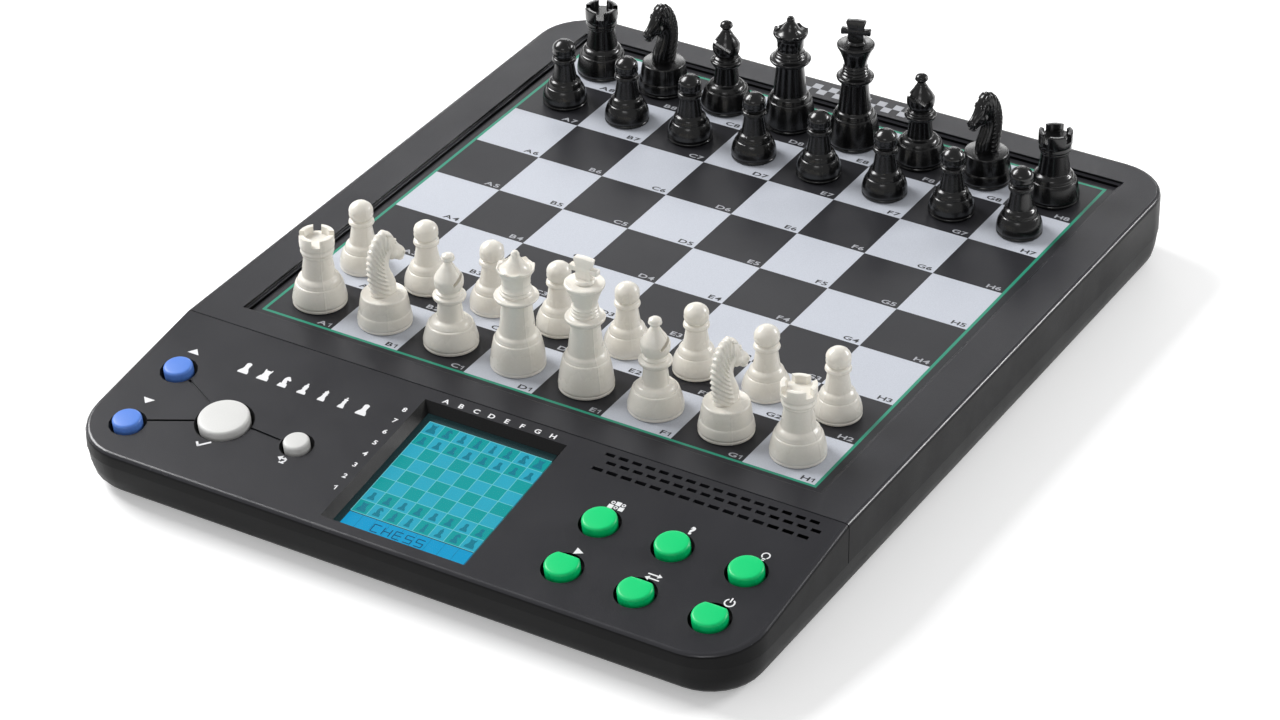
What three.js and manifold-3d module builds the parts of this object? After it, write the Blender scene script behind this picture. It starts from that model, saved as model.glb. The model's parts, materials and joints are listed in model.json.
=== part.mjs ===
// Electronic chess computer: a low case with a sunken 8 x 8 playfield, a sloping control panel with a
// display, ten keys and a loudspeaker, and a full set of chess pieces. Millimetres, +Z up.
// The origin is on the resting plane under the centre of the case. +X runs from file A to file H and
// +Y runs away from the player.
import * as THREE from "three";
import { mergeVertices } from "three/addons/utils/BufferGeometryUtils.js";
import Module from "manifold-3d";

const wasm = await Module();
wasm.setup();

// ---- Driving dimensions ----------------------------------------------------------------------------
const SQUARE = 27; // side of one playfield square
const CASE_WIDTH = 259;
const CASE_DEPTH = 325;
const CORNER_RADIUS = 21;
const CASE_TOP = 30; // top of the frame above the resting plane
const PARTING_HEIGHT = 14.5; // where the upper shells meet the bottom housing
const FOOT_HEIGHT = 1.5; // the feet hold the underside this far up
const WALL = 2.2;
const EDGE_RADIUS = 1.6; // rounding of the upper shells' outer top edge
const FLUSH_GAP = 0.3; // between pieces that fit into each other

const SEAM_Y = -89; // joint between the frame and the control panel
const SEAM_GAP = 0.4;
const PANEL_ANGLE = THREE.MathUtils.degToRad(8.25);

const FIELD_Y = 35.3; // centre of the playfield
const FIELD_HEIGHT = 28; // top of the playfield sheet
const RECESS_MARGIN = 5.5; // from the squares to the edge of the frame's opening
const LEDGE_DROP = 1; // the opening steps in once on its way down to the sheet
const LEDGE_WIDTH = 1.3;
const SHEET_THICKNESS = 1.1;
const MEMBRANE_THICKNESS = 0.8;
const TRAY_FLOOR = 2;

const KEY_TRAVEL = 1.2;
const KEY_COLUMNS = [56.6, 83.6, 110.6];
const KEY_ROWS = { rear: 33.3, front: 56.6 }; // measured down the slope from the seam
const WELL_DEPTH = 3.2; // of the display below the panel's face

// ---- Places worked out from them -------------------------------------------------------------------
const HALF_WIDTH = CASE_WIDTH / 2;
const HALF_DEPTH = CASE_DEPTH / 2;
const RECESS_HALF = 4 * SQUARE + RECESS_MARGIN;
const OPENING_HALF = RECESS_HALF - LEDGE_WIDTH;
const SHEET_BOTTOM = FIELD_HEIGHT - SHEET_THICKNESS;
const MEMBRANE_BOTTOM = SHEET_BOTTOM - 0.1 - MEMBRANE_THICKNESS;
const TRAY_TOP = MEMBRANE_BOTTOM - 0.1;
const FLOOR_TOP = FOOT_HEIGHT + WALL;

// The panel's own frame: x across, y up the slope with 0 at the seam, z out of the face.
const panelFrame = new THREE.Matrix4()
  .makeRotationX(PANEL_ANGLE)
  .setPosition(0, SEAM_Y, CASE_TOP);

// ---- Finishes --------------------------------------------------------------------------------------
const finish = (color, roughness, metalness = 0) =>
  new THREE.MeshStandardMaterial({ color, roughness, metalness });

const CHARCOAL = finish(0x3c3d41, 0.55);
const DARK_CASE = finish(0x222326, 0.6);
const SILVER_PRINT = finish(0xc0c3c8, 0.45);
const GREEN_KEY = finish(0x00c46a, 0.4);
const BLUE_KEY = finish(0x5f86dc, 0.4);
const WHITE_KEY = finish(0xe6e6e4, 0.4);
const IVORY = finish(0xe0ddd2, 0.35);
const GLOSS_BLACK = finish(0x0c0c0d, 0.2);
const CLEAR = finish(0xb9dfe4, 0.1);
const DISPLAY = finish(0x18a0b4, 0.3);
const BOARD_GREEN = finish(0x1d5c39, 0.5);
const SILICONE = finish(0x8d8f92, 0.7);
const RUBBER = finish(0x1b1b1c, 0.9);
const FILM = finish(0xd9c88f, 0.5);
const STEEL = finish(0xa9abae, 0.35, 0.9);
const CELL_JACKET = finish(0x2e6b3c, 0.35, 0.3);

// ---- Solids ----------------------------------------------------------------------------------------
const MERGE_DISTANCE = 1e-3;

// A closed geometry as a manifold-3d solid.
function toSolid(geometry) {
  const bare = geometry.index ? geometry.toNonIndexed() : geometry.clone();
  bare.deleteAttribute("normal");
  bare.deleteAttribute("uv");
  const merged = mergeVertices(bare, MERGE_DISTANCE);
  const vertProperties = merged.attributes.position.array;
  const triVerts = new Uint32Array(merged.index.array);
  return new wasm.Manifold(new wasm.Mesh({ numProp: 3, vertProperties, triVerts }));
}

// A manifold-3d solid as a geometry with flat shading.
function toGeometry(solid) {
  const mesh = solid.getMesh();
  const indexed = new THREE.BufferGeometry();
  indexed.setAttribute("position", new THREE.BufferAttribute(mesh.vertProperties, 3));
  indexed.setIndex(new THREE.BufferAttribute(mesh.triVerts, 1));
  const flat = indexed.toNonIndexed();
  flat.computeVertexNormals();
  return flat;
}

const joined = (solids) => solids.reduce((sum, solid) => sum.add(solid));
const without = (base, tools) => tools.reduce((rest, tool) => rest.subtract(tool), base);

function block(x0, x1, y0, y1, z0, z1) {
  const box = new THREE.BoxGeometry(x1 - x0, y1 - y0, z1 - z0);
  return toSolid(box.translate((x0 + x1) / 2, (y0 + y1) / 2, (z0 + z1) / 2));
}

// A body of revolution about +Z from [radius, height] points that run from the axis back to the axis.
function turned(profile, sides) {
  const points = profile.map(([radius, height]) => new THREE.Vector2(radius, height));
  return toSolid(new THREE.LatheGeometry(points, sides).rotateX(Math.PI / 2));
}

function rod(radius, z0, z1, x, y, sides) {
  const outline = [[0, z0], [radius, z0], [radius, z1], [0, z1]];
  return turned(outline, sides).translate([x, y, 0]);
}

// A flat outline of [x, y] points, extruded from z0 to z1.
function plate(points, z0, z1) {
  const shape = new THREE.Shape(points.map(([x, y]) => new THREE.Vector2(x, y)));
  const options = { depth: z1 - z0, bevelEnabled: false };
  return toSolid(new THREE.ExtrudeGeometry(shape, options).translate(0, 0, z0));
}

const placed = (solid, matrix) => solid.transform(matrix.elements);

// Outline of a rectangle, counterclockwise from its front left corner. Each end has its own corner
// radius, and a radius of 0 leaves a sharp corner.
function caseOutline({ x, front, rear, frontRadius, rearRadius }) {
  const steps = 8;
  const corners = [
    [-x, front, frontRadius, 1, 1, Math.PI],
    [x, front, frontRadius, -1, 1, 1.5 * Math.PI],
    [x, rear, rearRadius, -1, -1, 0],
    [-x, rear, rearRadius, 1, -1, 0.5 * Math.PI],
  ];
  return corners.flatMap(([cx, cy, radius, sx, sy, start]) => {
    if (radius === 0) return [[cx, cy]];
    return Array.from({ length: steps + 1 }, (_, i) => {
      const angle = start + (i / steps) * 0.5 * Math.PI;
      const px = cx + sx * radius + radius * Math.cos(angle);
      const py = cy + sy * radius + radius * Math.sin(angle);
      return [px, py];
    });
  });
}

// Skins a stack of outlines with the same number of points, each given as [x, y, z] points, and closes
// the lowest and the highest with flat caps.
function skinned(rings) {
  const count = rings[0].length;
  const positions = rings.flat(2);
  const contour = rings[0].map(([x, y]) => new THREE.Vector2(x, y));
  const cap = THREE.ShapeUtils.triangulateShape(contour, []);
  const index = cap.flatMap(([a, b, c]) => [c, b, a]);
  for (let level = 0; level + 1 < rings.length; level++) {
    for (let i = 0; i < count; i++) {
      const low = level * count + i;
      const next = level * count + ((i + 1) % count);
      index.push(low, next, next + count, low, next + count, low + count);
    }
  }
  const top = (rings.length - 1) * count;
  index.push(...cap.flatMap(([a, b, c]) => [top + a, top + b, top + c]));
  const geometry = new THREE.BufferGeometry();
  geometry.setAttribute("position", new THREE.Float32BufferAttribute(positions, 3));
  geometry.setIndex(index);
  return toSolid(geometry);
}

// ---- Case shells -----------------------------------------------------------------------------------
// Insets and drops of the rings that round an outer top edge.
const EDGE_STEPS = [0, 30, 60, 90].map((degrees) => {
  const angle = THREE.MathUtils.degToRad(degrees);
  const inset = EDGE_RADIUS * (1 - Math.cos(angle));
  const drop = EDGE_RADIUS * (1 - Math.sin(angle));
  return { inset, drop };
});

const panelTopAt = (y) => CASE_TOP - (SEAM_Y - y) * Math.tan(PANEL_ANGLE);

function frameRing(inset, z) {
  const outline = caseOutline({
    x: HALF_WIDTH - inset,
    front: SEAM_Y + SEAM_GAP / 2,
    rear: HALF_DEPTH - inset,
    frontRadius: 0,
    rearRadius: CORNER_RADIUS - inset,
  });
  return outline.map(([x, y]) => [x, y, z]);
}

function panelRing(inset, heightAt, seamInset = 0) {
  const outline = caseOutline({
    x: HALF_WIDTH - inset,
    front: -HALF_DEPTH + inset,
    rear: SEAM_Y - SEAM_GAP / 2 - seamInset,
    frontRadius: CORNER_RADIUS - inset,
    rearRadius: 0,
  });
  return outline.map(([x, y]) => [x, y, heightAt(y)]);
}

// The front wall of the bottom housing leans in more than the others.
const FRONT_LEAN = 1.25;

function housingRing(inset, z) {
  const outline = caseOutline({
    x: HALF_WIDTH - inset,
    front: -HALF_DEPTH + FRONT_LEAN * inset,
    rear: HALF_DEPTH - inset,
    frontRadius: CORNER_RADIUS - inset,
    rearRadius: CORNER_RADIUS - inset,
  });
  return outline.map(([x, y]) => [x, y, z]);
}

// Screw places, shared by the wells under the bottom housing and the posts in the upper shells.
const SCREW_X = 117.5;
const CORNER_SCREW = { x: 115, y: 148 };
const frameScrews = [
  [-SCREW_X, 40],
  [SCREW_X, 40],
  [-SCREW_X, -66],
  [SCREW_X, -66],
  [-CORNER_SCREW.x, CORNER_SCREW.y],
  [CORNER_SCREW.x, CORNER_SCREW.y],
];
const panelScrews = [
  [-70, -149],
  [70, -149],
];
const POST_RADIUS = 4.5;
const POST_SIDES = 10;
// The slot in the tray's floor for the sensing film's tail, measured from the front of the opening.
const TAIL = { slotHalfWidth: 22, slotFront: 6, slotRear: 11, halfWidth: 18, drop: 8 };
const TONGUE = { reach: 2.5, thickness: 2 };

function boardFrame() {
  const rings = EDGE_STEPS.map(({ inset, drop }) => frameRing(inset, CASE_TOP - drop));
  const outer = skinned([frameRing(0, PARTING_HEIGHT), ...rings]);
  const cavity = block(
    -HALF_WIDTH + WALL,
    HALF_WIDTH - WALL,
    SEAM_Y - 1,
    HALF_DEPTH - CORNER_RADIUS,
    PARTING_HEIGHT - 1,
    CASE_TOP - WALL,
  );
  const rearCavity = skinned([
    frameRing(WALL, PARTING_HEIGHT - 1),
    frameRing(WALL, CASE_TOP - WALL),
  ]);
  const trayHalf = OPENING_HALF + WALL;
  const tray = block(
    -trayHalf,
    trayHalf,
    FIELD_Y - trayHalf,
    FIELD_Y + trayHalf,
    TRAY_TOP - TRAY_FLOOR,
    CASE_TOP - WALL / 2,
  );
  const posts = frameScrews.map(([x, y]) =>
    rod(POST_RADIUS, PARTING_HEIGHT, CASE_TOP - WALL / 2, x, y, POST_SIDES),
  );
  // A tongue under the panel's rear edge closes the seam from below.
  const tongueX = HALF_WIDTH - WALL - 1;
  const tongueFront = SEAM_Y - TONGUE.reach;
  const rootFront = SEAM_Y + 1;
  const rootRear = rootFront + TONGUE.thickness;
  const tongueTop = panelTopAt(tongueFront) - WALL - FLUSH_GAP - 0.1;
  const tongueBottom = tongueTop - TONGUE.thickness;
  const tongue = block(-tongueX, tongueX, tongueFront, rootRear, tongueBottom, tongueTop);
  const tongueRoot = block(
    -tongueX,
    tongueX,
    rootFront,
    rootRear,
    tongueBottom,
    CASE_TOP - WALL / 2,
  );
  const solid = joined([
    without(outer, [cavity, rearCavity]),
    tray,
    tongue,
    tongueRoot,
    ...posts,
  ]);
  const y0 = FIELD_Y - RECESS_HALF;
  const y1 = FIELD_Y + RECESS_HALF;
  const ledge = CASE_TOP - LEDGE_DROP;
  const opening = block(-RECESS_HALF, RECESS_HALF, y0, y1, ledge, CASE_TOP + 1);
  const pocket = block(
    -OPENING_HALF,
    OPENING_HALF,
    y0 + LEDGE_WIDTH,
    y1 - LEDGE_WIDTH,
    TRAY_TOP,
    CASE_TOP + 1,
  );
  const { slotHalfWidth, slotFront, slotRear } = TAIL;
  const slotBottom = TRAY_TOP - TRAY_FLOOR - 1;
  const tailSlot = block(
    -slotHalfWidth,
    slotHalfWidth,
    y0 + slotFront,
    y0 + slotRear,
    slotBottom,
    TRAY_TOP + 1,
  );
  return without(solid, [opening, pocket, tailSlot]);
}

// ---- Control panel ---------------------------------------------------------------------------------
// Keys in the panel's own frame: radius of the cap and of the hole, and whether the hole is chamfered.
const KEYS = [
  { name: "key_up", x: -113.1, slope: 28.3, cap: 5.1, hole: 5.7, chamfered: true },
  { name: "key_down", x: -113.1, slope: 58.1, cap: 5.1, hole: 5.7, chamfered: true },
  { name: "key_enter", x: -83.5, slope: 43.7, cap: 8.9, hole: 9.4, chamfered: true },
  { name: "key_back", x: -54.4, slope: 43.4, cap: 4.5, hole: 5.1, chamfered: true },
  ...["moves", "why", "help"].map((word, i) => greenKey(word, KEY_COLUMNS[i], KEY_ROWS.rear, false)),
  ...["start", "swap", "power"].map((word, i) => greenKey(word, KEY_COLUMNS[i], KEY_ROWS.front, true)),
];

function greenKey(word, x, slope, flatted) {
  return { name: "key_" + word, x, slope, cap: 5.9, hole: 6.9, chamfered: false, flatted };
}

const DISPLAY_WELL = { x0: -28, x1: 27.5, near: 69, far: 5.5, taper: 2.6 };
const GRILLE_ROWS = [
  { count: 16, first: 41.2, pitch: 5.07, slope: 3.6, length: 3.4, width: 1.4 },
  { count: 16, first: 43.6, pitch: 5.07, slope: 7.2, length: 3.4, width: 1.4 },
  { count: 15, first: 40.6, pitch: 5.45, slope: 11.3, length: 3.9, width: 1.5 },
];
// Shallow marks that run from the keys towards their legends, each from one [x, slope] to another.
const GROOVE = { width: 0.9, depth: 0.6 };
const GROOVES = [
  [-108, 54.4, -93, 47.6],
  [-106.8, 31, -93.5, 37.9],
  [-73.3, 42.8, -60.9, 43.7],
];

const keySides = (radius) => (radius > 8 ? 24 : 16);
const CHAMFER = { width: 0.9, depth: 0.8 };

function keyHole({ x, slope, hole, chamfered }) {
  const sides = keySides(hole);
  const below = -2 * WALL;
  if (!chamfered) return rod(hole, below, 1, x, -slope, sides);
  const mouth = hole + CHAMFER.width;
  const profile = [
    [0, below],
    [hole, below],
    [hole, -CHAMFER.depth],
    [mouth, 0],
    [mouth, 1],
    [0, 1],
  ];
  return turned(profile, sides).translate([x, -slope, 0]);
}

// A tapering rectangular well for the display.
function displayWell() {
  const { x0, x1, near, far, taper } = DISPLAY_WELL;
  const ring = (inset, z) => [
    [x0 + inset, -near + inset, z],
    [x1 - inset, -near + inset, z],
    [x1 - inset, -far - inset, z],
    [x0 + inset, -far - inset, z],
  ];
  return skinned([ring(taper, -WELL_DEPTH - 1), ring(taper, -WELL_DEPTH), ring(0, 0), ring(0, 1)]);
}

const WINDOW_LAND = 1.4; // how far the window reaches past the well's floor on each side
const WINDOW_THICKNESS = 1;
const COLLAR = 1.5; // wall of the frame under the panel that holds the window
const WINDOW_TOP = -WELL_DEPTH - FLUSH_GAP;

function windowPlate(inset, z0, z1) {
  const { x0, x1, near, far, taper } = DISPLAY_WELL;
  const edge = taper - WINDOW_LAND + inset;
  return block(x0 + edge, x1 - edge, -near + edge, -far - edge, z0, z1);
}

function controlPanel() {
  const rings = EDGE_STEPS.map(({ inset, drop }) => panelRing(inset, (y) => panelTopAt(y) - drop));
  const outer = skinned([panelRing(0, () => PARTING_HEIGHT), ...rings]);
  const openRear = -SEAM_GAP - 1;
  const cavity = skinned([
    panelRing(WALL, () => PARTING_HEIGHT - 1, openRear),
    panelRing(WALL, (y) => panelTopAt(y) - WALL, openRear),
  ]);
  const { x0, x1, near, far } = DISPLAY_WELL;
  const collarDepth = WELL_DEPTH + WINDOW_THICKNESS + FLUSH_GAP;
  const [left, right] = [x0 - COLLAR, x1 + COLLAR];
  const collar = block(left, right, -near - COLLAR, -far + COLLAR, -collarDepth, -WALL / 2);
  const posts = panelScrews.map(([x, y]) =>
    rod(POST_RADIUS, PARTING_HEIGHT, panelTopAt(y) - WALL / 2, x, y, POST_SIDES),
  );
  const slots = GRILLE_ROWS.flatMap(({ count, first, pitch, slope, length, width }) =>
    Array.from({ length: count }, (_, i) => {
      const x = first + i * pitch;
      return block(x, x + length, -slope - width / 2, -slope + width / 2, -2 * WALL, 1);
    }),
  );
  const grooves = GROOVES.map(([xa, slopeA, xb, slopeB]) => {
    const run = Math.hypot(xb - xa, slopeB - slopeA);
    const turn = THREE.MathUtils.radToDeg(Math.atan2(slopeA - slopeB, xb - xa));
    const cutter = block(0, run, -GROOVE.width / 2, GROOVE.width / 2, -GROOVE.depth, 1);
    return cutter.rotate([0, 0, turn]).translate([xa, -slopeA, 0]);
  });
  const pocket = windowPlate(-FLUSH_GAP, -collarDepth - 1, -WELL_DEPTH);
  const cuts = [...KEYS.map(keyHole), displayWell(), pocket, ...slots, ...grooves];
  const shell = without(outer, [cavity]);
  const body = joined([shell, placed(collar, panelFrame), ...posts]);
  return without(body, cuts.map((solid) => placed(solid, panelFrame)));
}

// ---- Bottom housing --------------------------------------------------------------------------------
const FOOT_RADIUS = 6;
const FOOT_SINK = 0.7; // depth of the shallow seat that a foot is glued into
const FOOT_PLACES = { x: 96, y: 130 };
const feet = [-1, 1].flatMap((side) => [
  { name: side < 0 ? "foot_front_left" : "foot_front_right", x: side, y: -1 },
  { name: side < 0 ? "foot_rear_left" : "foot_rear_right", x: side, y: 1 },
]);
const SCREW_WELL = { radius: 3.2, depth: 6.5 };

const CELL = { radius: 7.1, length: 49, nub: 1.4, pitch: 15.2, count: 3, clearance: 0.4 };
const BAY = { y: 45, width: 54, depth: CELL.count * CELL.pitch + 1.2, wall: 3.5 };
const BAY_TOP = FLOOR_TOP + 2 * (CELL.radius + CELL.clearance) + 0.2;
const DOOR_MARGIN = 1; // the door laps the bay's walls by this much all round
const DOOR_THICKNESS = 1.8;
const LATCH = { halfWidth: 6.5, length: 9, slit: 1 };
const GRIP = { count: 4, first: 2.2, pitch: 1.6, width: 0.7, half: 4.5, depth: 0.45 };
const FINGER_NOTCH = { radius: 7, depth: 1 };
const HINGE = { height: FOOT_HEIGHT + 0.95, inset: 0.9, pin: 0.8, reach: 1.4 };

// Insets of the housing's outer wall: near upright at the top, curving in to a flat underside.
const HOUSING_PROFILE = [
  [7.2, 0],
  [5, 0.4],
  [3.2, 1.5],
  [1.8, 3.6],
  [0.8, 7.5],
  [0.25, PARTING_HEIGHT - FOOT_HEIGHT - 0.2],
];

function bottomHousing() {
  const rings = HOUSING_PROFILE.map(([inset, rise]) => housingRing(inset, FOOT_HEIGHT + rise));
  const outer = skinned(rings);
  const cavity = skinned([
    housingRing(7.2 + WALL, FLOOR_TOP),
    housingRing(2.7 + WALL, FLOOR_TOP + 2.4),
    housingRing(WALL, FLOOR_TOP + 8),
    housingRing(WALL, PARTING_HEIGHT + 1),
  ]);
  const halfBay = { x: BAY.width / 2 + BAY.wall, y: BAY.depth / 2 + BAY.wall };
  const bay = block(
    -halfBay.x,
    halfBay.x,
    BAY.y - halfBay.y,
    BAY.y + halfBay.y,
    FOOT_HEIGHT + WALL / 2,
    BAY_TOP + WALL,
  );
  const wells = [...frameScrews, ...panelScrews];
  const bosses = wells.map(([x, y]) =>
    rod(POST_RADIUS, FOOT_HEIGHT + WALL / 2, PARTING_HEIGHT - 0.5, x, y, POST_SIDES),
  );
  const inner = block(
    -BAY.width / 2,
    BAY.width / 2,
    BAY.y - BAY.depth / 2,
    BAY.y + BAY.depth / 2,
    0,
    BAY_TOP,
  );
  const doorway = doorOutline(-FLUSH_GAP, 0, FLOOR_TOP);
  const pivot = doorPivot();
  const pinReach = HINGE.reach + 0.4;
  const pinWidth = HINGE.pin + 0.3;
  const sockets = [-1, 1].map((side) => {
    const edge = side * (BAY.width / 2 + DOOR_MARGIN);
    const [from, to] = [edge - side, edge + side * pinReach].sort((a, b) => a - b);
    return block(from, to, pivot.y - pinWidth, pivot.y + pinWidth, 0, pivot.z + pinWidth);
  });
  const cuts = wells.map(([x, y]) =>
    rod(SCREW_WELL.radius, 0, FOOT_HEIGHT + SCREW_WELL.depth, x, y, 12),
  );
  const seats = feet.map(({ x, y }) =>
    rod(
      FOOT_RADIUS + FLUSH_GAP,
      0,
      FOOT_HEIGHT + FOOT_SINK + 0.1,
      x * FOOT_PLACES.x,
      y * FOOT_PLACES.y,
      12,
    ),
  );
  const notchY = BAY.y - halfBay.y - 1;
  const fingerNotch = rod(FINGER_NOTCH.radius, 0, FOOT_HEIGHT + FINGER_NOTCH.depth, 0, notchY, 12);
  const body = joined([without(outer, [cavity]), bay, ...bosses]);
  return without(body, [inner, doorway, ...sockets, ...cuts, ...seats, fingerNotch]);
}

// The door's plan, grown or shrunk by an inset, from z0 to z1.
function doorOutline(inset, z0, z1) {
  const x = BAY.width / 2 + DOOR_MARGIN - inset;
  const y = BAY.depth / 2 + DOOR_MARGIN - inset;
  return block(-x, x, BAY.y - y, BAY.y + y, z0, z1);
}

function doorPivot() {
  return { y: BAY.y + BAY.depth / 2 + DOOR_MARGIN - HINGE.inset, z: HINGE.height };
}

// A flush plate with a half-round rear edge, two pivot pins and two slits that free its latch tongue.
function batteryDoor() {
  const { y, z } = doorPivot();
  const x = BAY.width / 2 + DOOR_MARGIN;
  const along = (radius, x0, x1, sides) =>
    rod(radius, x0, x1, 0, 0, sides).rotate([0, 90, 0]).translate([0, y, z]);
  const front = BAY.y - BAY.depth / 2 - DOOR_MARGIN;
  const top = FOOT_HEIGHT + DOOR_THICKNESS;
  const panel = block(-x, x, front, y, FOOT_HEIGHT + 0.05, top);
  const edge = along(HINGE.inset - 0.05, -x, x, 12);
  const pins = along(HINGE.pin, -x - HINGE.reach, x + HINGE.reach, 10);
  const { halfWidth, length, slit } = LATCH;
  const slits = [-halfWidth, halfWidth].map((at) =>
    block(at - slit / 2, at + slit / 2, front - 1, front + length, 0, top + 1),
  );
  const ribs = Array.from({ length: GRIP.count }, (_, i) => {
    const start = front + GRIP.first + i * GRIP.pitch;
    return block(-GRIP.half, GRIP.half, start, start + GRIP.width, 0, FOOT_HEIGHT + GRIP.depth);
  });
  return without(joined([panel, edge, pins]), [...slits, ...ribs]);
}

// ---- Pieces inside the case ------------------------------------------------------------------------
function playfieldSheet() {
  const half = OPENING_HALF - FLUSH_GAP;
  return block(-half, half, FIELD_Y - half, FIELD_Y + half, SHEET_BOTTOM, FIELD_HEIGHT);
}

// The pressure-sensing film, with a tail that goes down through the slot in the tray's floor.
function sensorMembrane() {
  const half = OPENING_HALF - FLUSH_GAP;
  const film = block(
    -half,
    half,
    FIELD_Y - half,
    FIELD_Y + half,
    MEMBRANE_BOTTOM,
    MEMBRANE_BOTTOM + MEMBRANE_THICKNESS,
  );
  const slotY = FIELD_Y - RECESS_HALF + (TAIL.slotFront + TAIL.slotRear) / 2;
  const { halfWidth, drop } = TAIL;
  const tailEnd = TRAY_TOP - TRAY_FLOOR - drop;
  const tail = block(-halfWidth, halfWidth, slotY - 0.3, slotY + 0.3, tailEnd, MEMBRANE_BOTTOM + 0.1);
  return film.add(tail);
}

const MODULE_TOP = WINDOW_TOP - WINDOW_THICKNESS - FLUSH_GAP;
const MODULE_THICKNESS = 3.2;
const BOARD_TOP = MODULE_TOP - MODULE_THICKNESS - FLUSH_GAP;
const BOARD_THICKNESS = 1.6;
const MAT_BOTTOM = BOARD_TOP + FLUSH_GAP;
const MAT_THICKNESS = 1;
const FLANGE_TOP = -WALL - FLUSH_GAP;
const STEM_BOTTOM = FLANGE_TOP - 1.2;
const DOME_TOP = STEM_BOTTOM - KEY_TRAVEL - FLUSH_GAP;
const CAP_RISE = 2.3;
const CAP_CROWN = 0.12; // how far the cap's middle stands above its rim
const FLAT_SHARE = 0.74; // of the radius, from a flatted key's middle to its flat

// Notches where the panel's two screw posts pass the front edge of the board and the mat.
const postNotches = () =>
  panelScrews.map(([x, y]) => {
    const slope = (SEAM_Y - y) / Math.cos(PANEL_ANGLE);
    return rod(POST_RADIUS + 2, 2 * BOARD_TOP, 0, x, -slope, 12);
  });

const BOARD = { halfWidth: 121, near: 63.5, far: 22 };
// The parts soldered under the board: the processor and the display's connector.
const PROCESSOR = { x: 43, slope: 45, halfWidth: 7, halfDepth: 7, height: 1.8 };
const CONNECTOR = { x: -46, slope: 55, halfWidth: 6, halfDepth: 5, height: 3 };

function circuitBoard() {
  const { halfWidth, near, far } = BOARD;
  const underside = BOARD_TOP - BOARD_THICKNESS;
  const board = block(-halfWidth, halfWidth, -near, -far, underside, BOARD_TOP);
  const soldered = [PROCESSOR, CONNECTOR].map((item) => {
    const [x0, x1] = [item.x - item.halfWidth, item.x + item.halfWidth];
    const [y0, y1] = [-item.slope - item.halfDepth, -item.slope + item.halfDepth];
    return block(x0, x1, y0, y1, underside - item.height, BOARD_TOP - BOARD_THICKNESS / 2);
  });
  return without(joined([board, ...soldered]), postNotches());
}

// One silicone sheet with a field on each side of the display, joined behind it by a narrow strip, and
// a dome under each key.
const MAT = { inner: 31, waist: 40, outer: 120, near: 63, far: 24, stripNear: 3, stripFar: -1 };

function keyMat() {
  const { inner, waist, outer, near, far, stripNear, stripFar } = MAT;
  const right = [
    [inner, -stripNear],
    [inner, -near],
    [outer, -near],
    [outer, -far],
    [waist, -far],
    [waist, -stripFar],
  ];
  const left = right.map(([x, y]) => [-x, y]).reverse();
  const sheet = plate([...right, ...left], MAT_BOTTOM, MAT_BOTTOM + MAT_THICKNESS);
  const domes = KEYS.map(({ x, slope, cap }) => {
    const foot = Math.min(cap, 5.5);
    const profile = [
      [0, MAT_BOTTOM + MAT_THICKNESS / 2],
      [foot, MAT_BOTTOM + MAT_THICKNESS / 2],
      [foot, MAT_BOTTOM + MAT_THICKNESS + 0.1],
      [foot * 0.55, DOME_TOP],
      [0, DOME_TOP],
    ];
    return turned(profile, 8).translate([x, -slope, 0]);
  });
  return without(joined([sheet, ...domes]), postNotches());
}

// A racetrack-shaped loudspeaker: basket and magnet.
const SPEAKER = {
  x: 83,
  slope: 13.6,
  halfLength: 22,
  radius: 9.5,
  basketDepth: 3.2,
  magnetRadius: 7.5,
  depth: 8.5,
};

function loudspeaker() {
  const { halfLength, radius, basketDepth, magnetRadius, depth } = SPEAKER;
  const steps = 8;
  const outline = [1, -1].flatMap((side) =>
    Array.from({ length: steps + 1 }, (_, i) => {
      const angle = (i / steps - side / 2) * Math.PI;
      const x = side * (halfLength - radius) + radius * Math.cos(angle);
      return [x, radius * Math.sin(angle)];
    }),
  );
  const basket = plate(outline, -basketDepth, 0);
  const magnet = rod(magnetRadius, -depth, -basketDepth + 0.2, 0, 0, 16);
  return basket.add(magnet);
}

// The cell lies along +X, with its raised contact at the high end.
function batteryCell() {
  const { radius, length, nub } = CELL;
  const end = length / 2;
  const shoulder = end - nub;
  const nubRadius = 2.65;
  const profile = [
    [0, -end],
    [radius - 0.5, -end],
    [radius, -end + 0.5],
    [radius, shoulder - 0.5],
    [radius - 0.5, shoulder],
    [nubRadius, shoulder],
    [nubRadius, end],
    [0, end],
  ];
  return turned(profile, 12).rotate([0, 90, 0]);
}

function rubberFoot() {
  const top = FOOT_HEIGHT + FOOT_SINK;
  const profile = [
    [0, 0],
    [FOOT_RADIUS - 0.5, 0],
    [FOOT_RADIUS, 0.5],
    [FOOT_RADIUS, top],
    [0, top],
  ];
  return turned(profile, 12);
}

// A key: domed cap, and a flange under the panel that keeps it in.
function keyCap({ cap, hole, flatted }) {
  const sides = keySides(cap);
  const flange = hole + 1;
  const profile = [
    [0, STEM_BOTTOM],
    [flange, STEM_BOTTOM],
    [flange, FLANGE_TOP],
    [cap, FLANGE_TOP],
    [cap, CAP_RISE - 0.8],
    [cap - 0.25, CAP_RISE - 0.3],
    [cap - 0.9, CAP_RISE],
    [0, CAP_RISE + CAP_CROWN],
  ];
  const solid = turned(profile, sides);
  if (!flatted) return solid;
  const flat = block(-cap, cap, FLAT_SHARE * cap, cap + 1, FLANGE_TOP + 0.2, CAP_RISE + 1);
  return solid.subtract(flat);
}

// ---- Chess pieces ----------------------------------------------------------------------------------
const PIECE_SIDES = 14;

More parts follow.
